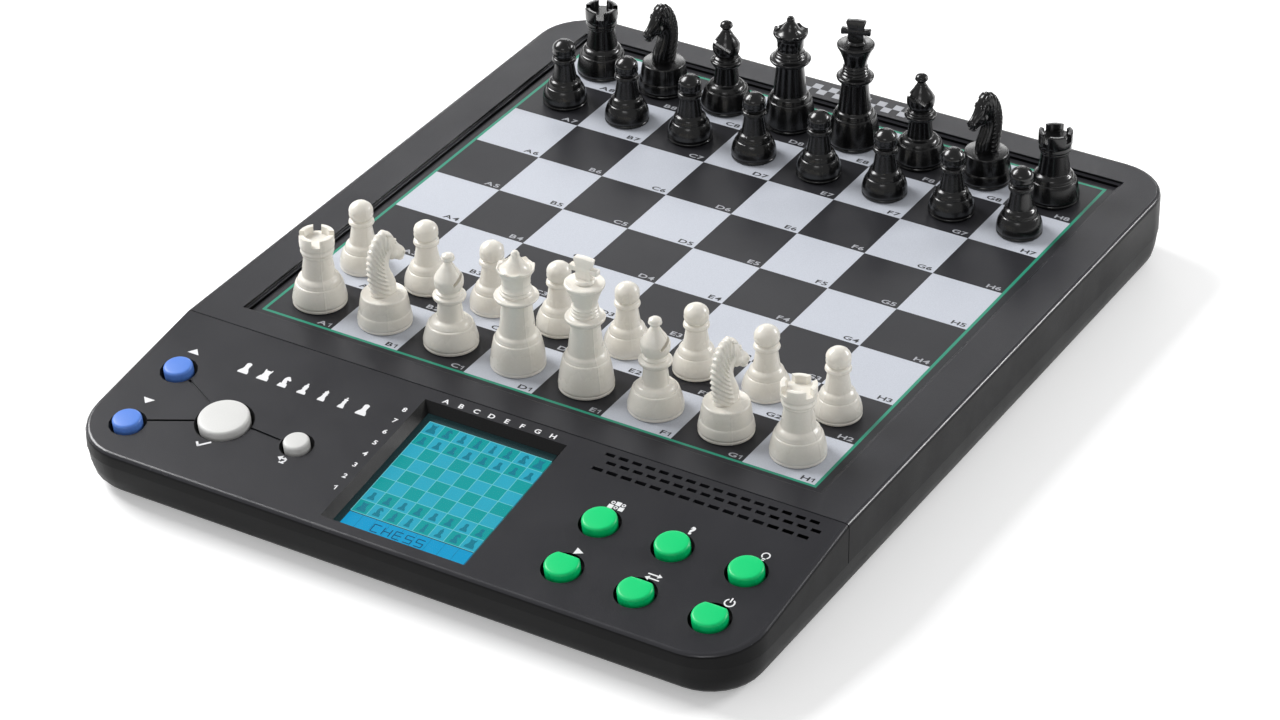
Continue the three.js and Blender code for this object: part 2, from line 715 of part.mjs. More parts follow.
// The stepped foot that every piece but the pawn shares, as [radius, height] points.
const PIECE_FOOT = [
  [0, 0],
  [9.4, 0],
  [9.7, 2.4],
];
const PAWN = [
  [0, 0],
  [8.2, 0],
  [8.4, 2.2],
  [6.9, 7],
  [6.3, 7.4],
  [4.7, 10.2],
  [3.6, 16.6],
  [4.4, 18.5],
  [3.4, 19.4],
  [4.2, 22],
  [2.9, 25.1],
  [0, 26.2],
];
const ROOK_FLOOR = 24.7;
const ROOK = [
  ...PIECE_FOOT,
  [8.3, 8.2],
  [7.7, 8.6],
  [5.9, 11],
  [4.9, 18.8],
  [6.1, 22],
  [6.2, 27.4],
  [4.4, 27.4],
  [4.1, ROOK_FLOOR],
  [0, ROOK_FLOOR],
];
const BISHOP = [
  ...PIECE_FOOT,
  [8, 8.2],
  [7, 8.6],
  [4.7, 10.4],
  [3.9, 17.2],
  [5.8, 19.4],
  [3.8, 21.9],
  [5.1, 25.7],
  [3.5, 29.2],
  [1.4, 32.6],
  [2.1, 34.3],
  [0, 35.8],
];
const QUEEN = [
  ...PIECE_FOOT,
  [8.2, 10.8],
  [7.5, 11.1],
  [6.2, 13.6],
  [5.1, 23],
  [7.6, 27.4],
  [5.2, 29.8],
  [5.1, 32.6],
  [6.3, 38],
  [5, 38.6],
  [1.6, 43],
  [0, 44.8],
];
const KING = [
  ...PIECE_FOOT,
  [8, 11.6],
  [7.3, 12],
  [6.1, 14.6],
  [4.8, 24],
  [6.8, 27.7],
  [4.4, 30.4],
  [4.3, 33],
  [6.8, 39.6],
  [6.6, 41],
  [2.6, 42.2],
  [0, 42.4],
];
const CROSS = {
  postHalf: 2.9,
  armHalf: 5.5,
  thickness: 2.4,
  foot: 42,
  armLow: 44.8,
  armHigh: 47,
  top: 50.5,
};
const KNIGHT_DRUM = [
  ...PIECE_FOOT,
  [8.7, 8.2],
  [8.2, 8.5],
  [7.8, 11.6],
  [0, 11.9],
];
// Side outline of the horse's head: forward and up.
const HORSE = [
  [-4.4, 11],
  [4.9, 11],
  [4.7, 15],
  [3.4, 18.6],
  [2.4, 21.4],
  [2.6, 23.4],
  [6.6, 22.8],
  [8.6, 23.8],
  [9, 25.6],
  [7.2, 28.6],
  [5.4, 31.2],
  [4.2, 33.8],
  [2.2, 35.4],
  [0.2, 35.6],
  [-2.2, 34],
  [-4.4, 30],
  [-5.8, 24],
  [-5.6, 18],
];
const HORSE_HALF_WIDTH = 2.8;

const makePiece = {
  pawn: () => turned(PAWN, PIECE_SIDES),
  rook: () => {
    const notch = (turn) => block(-7, 7, -1.1, 1.1, ROOK_FLOOR, 28).rotate([0, 0, turn]);
    return without(turned(ROOK, PIECE_SIDES), [notch(45), notch(-45)]);
  },
  bishop: () => {
    const slit = block(0.9, 7, -4, 4, -0.35, 0.35).rotate([0, -52, 0]).translate([0.6, 0, 26]);
    return turned(BISHOP, PIECE_SIDES).subtract(slit);
  },
  queen: () => turned(QUEEN, PIECE_SIDES),
  king: () => {
    const { postHalf, armHalf, thickness, foot, armLow, armHigh, top } = CROSS;
    const post = block(-postHalf, postHalf, -thickness / 2, thickness / 2, foot, top);
    const arms = block(-armHalf, armHalf, -thickness / 2, thickness / 2, armLow, armHigh);
    return joined([turned(KING, PIECE_SIDES), post, arms]);
  },
  knight: () => {
    const head = plate(HORSE, -HORSE_HALF_WIDTH, HORSE_HALF_WIDTH).rotate([90, 0, 90]);
    return turned(KNIGHT_DRUM, PIECE_SIDES).add(head);
  },
};

const BACK_RANK = ["rook", "knight", "bishop", "queen", "king", "bishop", "knight", "rook"];
const FILES = "abcdefgh";

// ---- Assembly --------------------------------------------------------------------------------------
const chessComputer = new THREE.Group();

function addMesh(parent, name, solid, material, position = [0, 0, 0], turn = 0) {
  const mesh = new THREE.Mesh(toGeometry(solid), material);
  mesh.name = name;
  mesh.position.set(...position);
  mesh.rotation.z = turn;
  parent.add(mesh);
}

addMesh(chessComputer, "bottom_housing", bottomHousing(), DARK_CASE);
addMesh(chessComputer, "board_frame", boardFrame(), CHARCOAL);
addMesh(chessComputer, "control_panel", controlPanel(), CHARCOAL);
addMesh(chessComputer, "playfield_sheet", playfieldSheet(), SILVER_PRINT);
addMesh(chessComputer, "sensor_membrane", sensorMembrane(), FILM);
addMesh(chessComputer, "battery_door", batteryDoor(), DARK_CASE);

for (const { name, x, y } of feet) {
  const position = [x * FOOT_PLACES.x, y * FOOT_PLACES.y, 0];
  addMesh(chessComputer, name, rubberFoot(), RUBBER, position);
}

for (let i = 0; i < CELL.count; i++) {
  const y = BAY.y + (i - 1) * CELL.pitch;
  const turn = i % 2 === 0 ? 0 : Math.PI;
  const position = [0, y, FLOOR_TOP + CELL.radius + CELL.clearance];
  addMesh(chessComputer, "battery_" + (i + 1), batteryCell(), CELL_JACKET, position, turn);
}

// Everything mounted square to the sloping panel hangs in one turned group.
const panelGroup = new THREE.Group();
panelGroup.applyMatrix4(panelFrame);
chessComputer.add(panelGroup);

const windowBottom = WINDOW_TOP - WINDOW_THICKNESS;
const moduleSolid = windowPlate(0, MODULE_TOP - MODULE_THICKNESS, MODULE_TOP);
addMesh(panelGroup, "lcd_window", windowPlate(0, windowBottom, WINDOW_TOP), CLEAR);
addMesh(panelGroup, "lcd_module", moduleSolid, DISPLAY);
addMesh(panelGroup, "main_circuit_board", circuitBoard(), BOARD_GREEN);
addMesh(panelGroup, "keypad_mat", keyMat(), SILICONE);
const speakerPlace = [SPEAKER.x, -SPEAKER.slope, -WALL - FLUSH_GAP];
addMesh(panelGroup, "speaker", loudspeaker(), STEEL, speakerPlace);

const keyMaterial = (name) => {
  if (name === "key_up" || name === "key_down") return BLUE_KEY;
  if (name === "key_enter" || name === "key_back") return WHITE_KEY;
  return GREEN_KEY;
};
for (const key of KEYS) {
  addMesh(panelGroup, key.name, keyCap(key), keyMaterial(key.name), [key.x, -key.slope, 0]);
}

// Degrees: which way each army faces, and how far some of its pieces stand turned from that.
const armies = [
  { side: "white", homeRank: 0, pawnRank: 1, material: IVORY, facing: 0, skew: { knight: -20 } },
  {
    side: "black",
    homeRank: 7,
    pawnRank: 6,
    material: GLOSS_BLACK,
    facing: 180,
    skew: { knight: -20, king: 18 },
  },
];
const squareCentre = (file, rank) => [
  (file - 3.5) * SQUARE,
  FIELD_Y + (rank - 3.5) * SQUARE,
  FIELD_HEIGHT,
];
for (const { side, homeRank, pawnRank, material, facing, skew } of armies) {
  const turnOf = (kind) => THREE.MathUtils.degToRad(facing + (skew[kind] ?? 0));
  BACK_RANK.forEach((kind, file) => {
    const single = kind === "king" || kind === "queen";
    const suffix = single ? "" : "_" + FILES[file];
    const name = side + "_" + kind + suffix;
    const place = squareCentre(file, homeRank);
    addMesh(chessComputer, name, makePiece[kind](), material, place, turnOf(kind));
  });
  for (let file = 0; file < 8; file++) {
    const name = side + "_pawn_" + FILES[file];
    const place = squareCentre(file, pawnRank);
    addMesh(chessComputer, name, makePiece.pawn(), material, place, turnOf("pawn"));
  }
}

export default chessComputer;
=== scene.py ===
"""Electronic chess computer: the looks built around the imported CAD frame. Lengths are in metres unless a
name ends in _MM or a table says millimetres. +X runs from file A to file H, +Y away from the player."""

import json
import math

import bmesh
import bpy
import numpy as np
from mathutils import Matrix, Vector


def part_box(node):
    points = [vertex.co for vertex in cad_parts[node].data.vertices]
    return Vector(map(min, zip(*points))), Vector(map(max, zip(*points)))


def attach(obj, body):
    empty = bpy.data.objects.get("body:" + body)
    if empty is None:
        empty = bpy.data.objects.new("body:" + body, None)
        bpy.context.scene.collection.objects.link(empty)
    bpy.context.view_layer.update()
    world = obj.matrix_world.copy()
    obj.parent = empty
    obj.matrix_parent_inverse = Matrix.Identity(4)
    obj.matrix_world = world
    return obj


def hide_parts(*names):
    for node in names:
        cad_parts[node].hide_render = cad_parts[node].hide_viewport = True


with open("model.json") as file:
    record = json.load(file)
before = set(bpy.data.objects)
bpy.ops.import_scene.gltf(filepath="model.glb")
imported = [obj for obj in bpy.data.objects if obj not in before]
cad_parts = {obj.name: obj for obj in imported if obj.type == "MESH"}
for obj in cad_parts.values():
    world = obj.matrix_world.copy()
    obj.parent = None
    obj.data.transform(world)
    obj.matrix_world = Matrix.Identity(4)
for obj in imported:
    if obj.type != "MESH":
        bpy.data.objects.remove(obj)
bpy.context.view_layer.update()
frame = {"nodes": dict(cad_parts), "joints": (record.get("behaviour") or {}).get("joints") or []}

MM = 0.001
SQUARE = 27 * MM
NODES = frame["nodes"]

# ---- Places taken from the frame ---------------------------------------------------------------------
SHEET_LOW, SHEET_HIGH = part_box("playfield_sheet")
FIELD_CENTRE = (SHEET_LOW + SHEET_HIGH) / 2
FIELD_TOP = SHEET_HIGH.z
FRAME_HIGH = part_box("board_frame")[1]
CASE_TOP = FRAME_HIGH.z
PRESS_AXIS = next(Vector(j["axis"]) for j in frame["joints"] if j["name"] == "key_enter_press")
PANEL_ANGLE = math.asin(PRESS_AXIS.y)  # a key is pressed into the panel, square to its face
SEAM_LINE_Y = -89 * MM  # where the frame meets the panel


def shift(x, y=0.0, z=0.0):
    return Matrix.Translation((x, y, z))


def spin(degrees, axis):
    return Matrix.Rotation(math.radians(degrees), 4, axis)


# The panel's own frame: x across, y up the slope with 0 at the seam, z out of the face.
PANEL = shift(0, SEAM_LINE_Y, CASE_TOP) @ Matrix.Rotation(PANEL_ANGLE, 4, "X")
TO_PANEL = PANEL.inverted()


# ---- Materials ---------------------------------------------------------------------------------------
class Nodes:
    """A short way to build a node tree."""

    def __init__(self, name):
        self.material = bpy.data.materials.new(name)
        self.material.use_nodes = True
        self.tree = self.material.node_tree
        self.shader = self.tree.nodes["Principled BSDF"]
        self.position = self.add("ShaderNodeTexCoord").outputs["Object"]

    def add(self, kind, **values):
        node = self.tree.nodes.new(kind)
        for key, value in values.items():
            setattr(node, key, value)
        return node

    def put(self, socket, value):
        """Sets a socket to a number or a colour, or links another socket to it."""
        if isinstance(value, tuple):
            socket.default_value = (*value, 1)
        elif isinstance(value, (int, float)):
            socket.default_value = value
        else:
            self.tree.links.new(value, socket)

    def feed(self, name, source):
        """Links a socket to one of the shader's own."""
        self.put(self.shader.inputs[name], source)

    def maths(self, operation, *values):
        node = self.add("ShaderNodeMath", operation=operation)
        for socket, value in zip(node.inputs, values):
            self.put(socket, value)
        return node.outputs[0]

    def noise(self, scale, detail=2.0, roughness=0.5):
        node = self.add("ShaderNodeTexNoise")
        node.inputs["Scale"].default_value = scale
        node.inputs["Detail"].default_value = detail
        node.inputs["Roughness"].default_value = roughness
        self.put(node.inputs["Vector"], self.position)
        return node.outputs["Fac"]

    def mix(self, factor, a, b):
        """Mixes two colours, each a tuple or a socket."""
        node = self.add("ShaderNodeMix", data_type="RGBA")
        for index, value in ((0, factor), (6, a), (7, b)):
            self.put(node.inputs[index], value)
        return node.outputs[2]

    def span(self, value, low, high, to_low, to_high):
        node = self.add("ShaderNodeMapRange")
        self.put(node.inputs["Value"], value)
        for key, number in zip(("From Min", "From Max", "To Min", "To Max"), (low, high, to_low, to_high)):
            node.inputs[key].default_value = number
        return node.outputs["Result"]

    def vary(self, name, noise, low, high):
        """Lets a noise, which is mostly between 0.3 and 0.7, move a shader value between low and high."""
        self.feed(name, self.span(noise, 0.3, 0.7, low, high))

    def bump(self, height, distance):
        node = self.add("ShaderNodeBump")
        node.inputs["Strength"].default_value = 1.0
        node.inputs["Distance"].default_value = distance
        self.put(node.inputs["Height"], height)
        self.feed("Normal", node.outputs["Normal"])

    def set(self, **values):
        for key, value in values.items():
            self.shader.inputs[key.replace("_", " ")].default_value = value


def rgb(red, green, blue):
    """An sRGB colour, 0 to 255, as linear values."""

    def linear(channel):
        share = channel / 255
        return share / 12.92 if share <= 0.04045 else ((share + 0.055) / 1.055) ** 2.4

    return tuple(linear(channel) for channel in (red, green, blue))


def scaled(colour, factor):
    return tuple(channel * factor for channel in colour)


def moulded(name, colour, roughness, grain, grain_size=0.35 * MM, gloss=0.5, mottle=0.06):
    """Moulded plastic with an eroded grain, a little uneven in colour and gloss."""
    n = Nodes(name)
    patches = n.noise(45, 4, 0.6)
    fine = n.noise(1 / grain_size, 3, 0.6)
    shade = n.mix(patches, scaled(colour, 1 - mottle), scaled(colour, 1 + mottle))
    n.feed("Base Color", n.mix(n.span(fine, 0.35, 0.65, 0, 0.35), shade, scaled(colour, 1 + 3 * mottle)))
    n.vary("Roughness", patches, roughness - 0.05, roughness + 0.05)
    n.set(Specular_IOR_Level=gloss)
    n.bump(fine, grain)
    return n


def key_plastic(name, colour):
    n = moulded(name, colour, 0.36, 0.02 * MM, 0.4 * MM, 0.3, 0.05)
    n.set(Coat_Weight=0.05, Coat_Roughness=0.25)
    return n.material


def ivory_plastic():
    n = moulded("ivory_plastic", rgb(229, 225, 216), 0.27, 0.006 * MM, 0.8 * MM, 0.5, 0.03)
    n.set(Subsurface_Weight=0.12, Subsurface_Radius=(0.6 * MM, 0.5 * MM, 0.4 * MM), Subsurface_Scale=1.0)
    return n.material


def black_plastic():
    n = moulded("polished_black", rgb(8, 8, 9), 0.24, 0.002 * MM, 1.2 * MM, 0.5, 0.1)
    n.set(Coat_Weight=0.2, Coat_Roughness=0.12)
    return n.material


# In squares from the playfield's centre.
FIELD_REACH = 4.0
LINE_REACH = 4.017
LINE_HALF_WIDTH = 0.021


def playfield_print():
    """The printed sheet: 8 x 8 squares inside a thin green line, on a dark ground."""
    n = Nodes("playfield_print")
    split = n.add("ShaderNodeSeparateXYZ")
    n.put(split.inputs[0], n.position)
    axes = []
    for axis, centre in ((0, FIELD_CENTRE.x), (1, FIELD_CENTRE.y)):
        axes.append(n.maths("DIVIDE", n.maths("SUBTRACT", split.outputs[axis], centre), SQUARE))
    cells = [n.maths("FLOOR", axis) for axis in axes]
    parity = n.maths("MODULO", n.maths("ABSOLUTE", n.maths("ADD", *cells)), 2.0)
    reach = n.maths("MAXIMUM", *[n.maths("ABSOLUTE", axis) for axis in axes])
    inside = n.maths("LESS_THAN", reach, FIELD_REACH)
    line = n.maths("COMPARE", reach, LINE_REACH, LINE_HALF_WIDTH)
    grain = n.noise(2600, 2, 0.7)
    silver = n.mix(grain, rgb(168, 172, 181), rgb(203, 207, 216))
    dark = n.mix(grain, rgb(34, 34, 37), rgb(48, 48, 52))
    ground = n.mix(grain, rgb(34, 34, 37), rgb(46, 46, 50))
    colour = n.mix(inside, ground, n.mix(parity, dark, silver))
    n.feed("Base Color", n.mix(line, colour, rgb(44, 138, 112)))
    n.vary("Roughness", n.noise(30, 3), 0.36, 0.44)
    n.set(Specular_IOR_Level=0.22)
    n.bump(grain, 0.012 * MM)
    return n.material


def ink(name, colour, roughness=0.5):
    n = Nodes(name)
    wear = n.noise(900, 3, 0.7)
    n.feed("Base Color", n.mix(wear, scaled(colour, 0.86), colour))
    n.set(Roughness=roughness)
    n.bump(wear, 0.006 * MM)
    return n.material


def display_glass(name, colour, glow, speckle=0.07):
    """A lit patch of the display, with the fine weave that its pixels show."""
    n = Nodes(name)
    weave = n.noise(2400, 2, 0.8)
    shade = n.mix(weave, scaled(colour, 1 - speckle), scaled(colour, 1 + speckle))
    n.feed("Base Color", n.mix(0.85, shade, (0, 0, 0)))
    n.feed("Emission Color", shade)
    n.set(Roughness=0.4, Specular_IOR_Level=0.12, Emission_Strength=glow)
    return n.material


def window_plastic():
    """The clear window: almost wholly see-through, with a faint reflection."""
    n = Nodes("clear_window")
    smear = n.noise(60, 3)
    n.feed("Base Color", n.mix(smear, (0.03, 0.05, 0.055), (0.05, 0.08, 0.085)))
    n.vary("Roughness", smear, 0.12, 0.2)
    n.vary("Alpha", smear, 0.015, 0.03)
    n.set(Specular_IOR_Level=0.3)
    return n.material


def metal(name, colour, roughness, brushed=120.0):
    n = Nodes(name)
    streaks = n.noise(brushed, 5, 0.7)
    n.feed("Base Color", n.mix(streaks, scaled(colour, 0.85), colour))
    n.vary("Roughness", streaks, roughness - 0.08, roughness + 0.08)
    n.set(Metallic=1.0)
    n.bump(streaks, 0.004 * MM)
    return n.material


def rubber(name, colour):
    return moulded(name, colour, 0.78, 0.05 * MM, 0.5 * MM, 0.3, 0.1).material


def laminate():
    """Green lacquered circuit board with tracks under the lacquer."""
    n = Nodes("board_laminate")
    bricks = n.add("ShaderNodeTexBrick")
    bricks.inputs["Scale"].default_value = 160
    bricks.inputs["Mortar Size"].default_value = 0.03
    n.put(bricks.inputs["Vector"], n.position)
    n.feed("Base Color", n.mix(bricks.outputs["Fac"], rgb(24, 92, 56), rgb(48, 128, 74)))
    n.set(Roughness=0.35, Coat_Weight=0.4)
    n.bump(bricks.outputs["Fac"], 0.02 * MM)
    return n.material


TOP_PLASTIC = moulded("charcoal_texture", rgb(37, 37, 41), 0.36, 0.04 * MM, 0.3 * MM, 0.24, 0.08).material
# Near-black textured plastic: the bottom housing's and the battery door's own colour. On the frame's and the
# panel's outer walls it is painted shade, as those walls are the same charcoal plastic as their tops.
HOUSING_PLASTIC_AND_WALL_SHADE = moulded("black_texture", rgb(10, 10, 11), 0.4, 0.03 * MM, 0.35 * MM, 0.12, 0.1).material
# The rounded outer edge: its lighter colour is a painted highlight, and its lower roughness and higher gloss
# make a real one.
EDGE_HIGHLIGHT_PLASTIC = moulded("glossy_edge_painted_highlight", rgb(44, 44, 48), 0.25, 0.015 * MM, 0.3 * MM, 0.5, 0.07).material
IVORY = ivory_plastic()
BLACK = black_plastic()
WHITE_INK = ink("white_ink", rgb(236, 236, 238))
LABEL_DARK = ink("label_dark", rgb(24, 24, 27))
LABEL_LIGHT = ink("label_light", rgb(168, 170, 176))
GREEN_KEY = key_plastic("green_key_plastic", rgb(0, 206, 118))
BLUE_KEY = key_plastic("blue_key_plastic", rgb(88, 132, 216))
WHITE_KEY = key_plastic("white_key_plastic", rgb(214, 214, 212))
HOLE_SHADE = moulded("hole_shade", rgb(6, 6, 7), 0.8, 0.01 * MM, 0.6 * MM, 0.1).material
FOOT_RUBBER = rubber("foot_rubber", rgb(24, 24, 25))
SILICONE = rubber("grey_silicone", rgb(120, 122, 126))
STEEL = metal("plated_steel", rgb(190, 192, 196), 0.3)


# ---- Meshes ------------------------------------------------------------------------------------------
def new_mesh(name, vertices, faces, smooth=True):
    mesh = bpy.data.meshes.new(name)
    mesh.from_pydata([tuple(v) for v in vertices], [], [tuple(f) for f in faces])
    mesh.validate()
    mesh.polygons.foreach_set("use_smooth", [smooth] * len(mesh.polygons))
    mesh.update()
    return mesh


def added(name, data):
    """A new object in the scene."""
    thing = bpy.data.objects.new(name, data)
    bpy.context.scene.collection.objects.link(thing)
    return thing


def settled(thing):
    """The mesh that an object has once its modifiers are applied, or its curve is filled."""
    graph = bpy.context.evaluated_depsgraph_get()
    graph.update()
    return bpy.data.meshes.new_from_object(thing.evaluated_get(graph))


def edited(mesh, change):
    """The mesh after a change made in bmesh."""
    work = bmesh.new()
    work.from_mesh(mesh)
    change(work)
    work.to_mesh(mesh)
    work.free()
    return mesh


def extent(points, axis):
    """The lowest and the highest value of some points along an axis."""
    values = [point[axis] for point in points]
    return min(values), max(values)


def piece(name, mesh, material, body, place=None, replaces=()):
    """A shown object made from a mesh in its own frame, put at place and riding on a body."""
    thing = added(name, mesh)
    if place is not None:
        thing.matrix_world = place
    if material is not None:
        mesh.materials.clear()
        mesh.materials.append(material)
    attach(thing, body)
    if replaces:
        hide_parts(*replaces)
    return thing


def merged(parts):
    """One list of vertices and faces from several."""
    vertices, faces = [], []
    for some_vertices, some_faces in parts:
        start = len(vertices)
        vertices.extend(some_vertices)
        faces.extend([tuple(start + i for i in face) for face in some_faces])
    return vertices, faces


def moved(part, matrix):
    vertices, faces = part
    return [matrix @ Vector(v) for v in vertices], faces


def arc(start, end, bulge, steps=6):
    """Points after start up to end on an arc. bulge is its height over its chord, to the right of the
    way from start to end, which is outwards on a profile that goes up."""
    if not bulge:
        return [end]
    (x0, y0), (x1, y1) = start, end
    chord = math.hypot(x1 - x0, y1 - y0)
    height = bulge * chord
    radius = (chord * chord / 4 + height * height) / (2 * height)
    normal = ((y1 - y0) / chord, -(x1 - x0) / chord)
    middle = ((x0 + x1) / 2, (y0 + y1) / 2)
    centre = (middle[0] + normal[0] * (height - radius), middle[1] + normal[1] * (height - radius))
    first = math.atan2(y0 - centre[1], x0 - centre[0])
    sweep = 4 * math.atan(2 * height / chord)
    return [
        (
            centre[0] + abs(radius) * math.cos(first + sweep * i / steps),
            centre[1] + abs(radius) * math.sin(first + sweep * i / steps),
        )
        for i in range(1, steps + 1)
    ]


def traced(corners, fillet=0.22):
    """A profile from (radius, height) corners, or (radius, height, bulge) where an arc leads to the corner.
    Sharp corners are rounded by up to fillet."""
    points = [tuple(corners[0][:2])]
    hard = [True]
    for corner in corners[1:]:
        steps = arc(points[-1], tuple(corner[:2]), corner[2] if len(corner) > 2 else 0)
        points.extend(steps)
        hard.extend([False] * (len(steps) - 1) + [True])
    rounded = [points[0]]
    for i in range(1, len(points) - 1):
        a, b, c = (Vector(points[j]) for j in (i - 1, i, i + 1))
        into, out = (b - a).normalized(), (c - b).normalized()
        if not hard[i] or into.dot(out) > 0.93:
            rounded.append(tuple(b))
            continue
        cut = min(fillet, 0.4 * (b - a).length, 0.4 * (c - b).length)
        start, end = b - into * cut, b + out * cut
        middle = (start + end) / 4 + b / 2
        rounded.extend([tuple(start), tuple(middle), tuple(end)])
    rounded.append(points[-1])
    return rounded


def lathe(profile, columns=72, seams=(), ridge=0.0):
    """Vertices and faces of a body of revolution. seams are angles where a fine mould ridge stands up."""
    angles = [2 * math.pi * i / columns for i in range(columns)]
    lift = dict.fromkeys(angles, 0.0)
    for seam in seams:
        for offset, height in ((-0.03, 0.0), (0.0, ridge), (0.03, 0.0)):
            lift[(seam + offset) % (2 * math.pi)] = height
    around = sorted(lift)
    count = len(around)
    vertices, faces = [], []
    rings = []
    for radius, height in profile:
        if radius < 1e-6:
            rings.append([len(vertices)] * count)
            vertices.append((0, 0, height))
            continue
        rings.append(list(range(len(vertices), len(vertices) + count)))
        for angle in around:
            reach = radius + lift[angle]
            vertices.append((reach * math.cos(angle), reach * math.sin(angle), height))
    for low, high in zip(rings, rings[1:]):
        for i in range(count):
            j = (i + 1) % count
            ring = [low[i], low[j], high[j], high[i]]
            face = list(dict.fromkeys(ring))
            if len(face) > 2:
                faces.append(face)
    return vertices, faces


def box_part(low, high):
    x, y, z = zip(low, high)
    vertices = [(x[i], y[j], z[k]) for i in (0, 1) for j in (0, 1) for k in (0, 1)]
    faces = [(0, 1, 3, 2), (4, 6, 7, 5), (0, 4, 5, 1), (2, 3, 7, 6), (0, 2, 6, 4), (1, 5, 7, 3)]
    return vertices, faces


def loft_faces(levels, around):
    """The quads between rings of points that follow each other in a list of vertices."""
    faces = []
    for level in range(levels):
        low, high = level * around, (level + 1) * around
        for i in range(around):
            j = (i + 1) % around
            faces.append((low + i, low + j, high + j, high + i))
    return faces


def closed_faces(levels, around):
    """The same with the first and the last ring filled."""
    ends = [tuple(range(around))[::-1], tuple(range(levels * around, (levels + 1) * around))]
    return loft_faces(levels, around) + ends


def plate_part(outline, low, high):
    """A flat outline of (x, y) points, counterclockwise, as a thin solid."""
    vertices = [(x, y, low) for x, y in outline] + [(x, y, high) for x, y in outline]
    return vertices, closed_faces(1, len(outline))


def carved(mesh, tools, operation="DIFFERENCE"):
    """The mesh after an exact boolean with each tool mesh."""
    base = added("carved", mesh)
    cutters = [added("cutter", tool) for tool in tools]
    for cutter in cutters:
        modifier = base.modifiers.new("cut", "BOOLEAN")
        modifier.operation = operation
        modifier.solver = "EXACT"
        modifier.object = cutter
    result = settled(base)
    for thing in [base, *cutters]:
        bpy.data.objects.remove(thing)
    return result


def sharpened(mesh, degrees=35):
    """Smooth shading that stays sharp where faces meet at more than that angle."""
    mesh.polygons.foreach_set("use_smooth", [True] * len(mesh.polygons))
    mesh.set_sharp_from_angle(angle=math.radians(degrees))
    return mesh


def outward(mesh):
    """Makes the faces of a closed mesh point outwards."""
    return edited(mesh, lambda work: bmesh.ops.recalc_face_normals(work, faces=work.faces))


def softened(mesh, width):
    """Rounds a mesh's sharp edges."""

    def change(work):
        edges = [edge for edge in work.edges if edge.calc_face_angle(0) > math.radians(40)]
        bmesh.ops.bevel(work, geom=edges, offset=width, segments=2, profile=0.6, affect="EDGES")

    return edited(mesh, change)


WELD = 0.002 * MM
FLATNESS = math.radians(0.4)  # faces that meet at less become one face


def bevelled(node, width, tools=()):
    """A copy of a CAD node's mesh with its flat faces made whole and its sharp edges rounded, then cut by
    the tools."""

    def change(work):
        bmesh.ops.remove_doubles(work, verts=work.verts, dist=WELD)
        bmesh.ops.dissolve_limit(
            work, angle_limit=FLATNESS, verts=work.verts, edges=work.edges, use_dissolve_boundaries=False
        )
        edges = [e for e in work.edges if len(e.link_faces) == 2 and e.calc_face_angle(0) > math.radians(50)]
        bmesh.ops.bevel(
            work, geom=edges, offset=width, offset_type="OFFSET", segments=2, profile=0.5, affect="EDGES",
            clamp_overlap=True,
        )

    mesh = edited(NODES[node].data.copy(), change)
    mesh.materials.clear()
    if tools:
        mesh = carved(mesh, tools)
    mesh.name = node + "_rounded"
    return sharpened(mesh)


# ---- Case --------------------------------------------------------------------------------------------
SHELLS = [
    ("frame_shell", "board_frame", 0.25 * MM, TOP_PLASTIC, "case", "charcoal_case"),
    ("panel_shell", "control_panel", 0.16 * MM, TOP_PLASTIC, "case", "charcoal_case"),
    ("housing_shell", "bottom_housing", 0.2 * MM, HOUSING_PLASTIC_AND_WALL_SHADE, "case", "dark_case"),
    ("door_plate", "battery_door", 0.12 * MM, HOUSING_PLASTIC_AND_WALL_SHADE, "battery_door", "dark_case"),
]
WELL_REACH = {"left": -31, "right": 31, "far": 2, "near": 72}  # millimetres on the panel: the display well, whose walls get painted shade
WALL_DROP = -0.25 * MM  # faces this far under the panel's face line its well and holes
OUTER_TILT = 0.3  # the outer walls' normals point up by less than this; these walls get painted shade
EDGE_TILT = 0.97  # the rounded outer edge, which gets a painted highlight, is steeper than this
EDGE_REACH = 14 * MM
RIM = 25 * MM  # the outer walls and their corner curves lie within this of the case's edge
PRESS_LAND = 1.0 * MM  # how far a key's flange reaches past the hole
HOLE_TRIM = 0.2 * MM  # how far the round cutters reach past the faceted holes
HOLE_WALL = 1.2 * MM  # faces this far past a round hole still belong to it
CUTTER_LOW, CUTTER_HIGH = -1.9 * MM, 1 * MM
KEY_NODES = [name for name in NODES if name.startswith("key_")]


def key_holes():
    """Round cutters that true up the panel's key holes, and each hole's centre and radius."""
    cutters, holes = [], []
    for node in KEY_NODES:
        _, flange, _, _, centre = key_numbers(node)
        radius = flange - PRESS_LAND + HOLE_TRIM
        profile = [(0, CUTTER_LOW), (radius, CUTTER_LOW), (radius, CUTTER_HIGH), (0, CUTTER_HIGH)]
        part = moved(lathe(profile, 96), PANEL @ shift(*centre))
        cutters.append(outward(new_mesh("hole", *part)))
        holes.append((centre, radius + HOLE_WALL))
    return cutters, holes


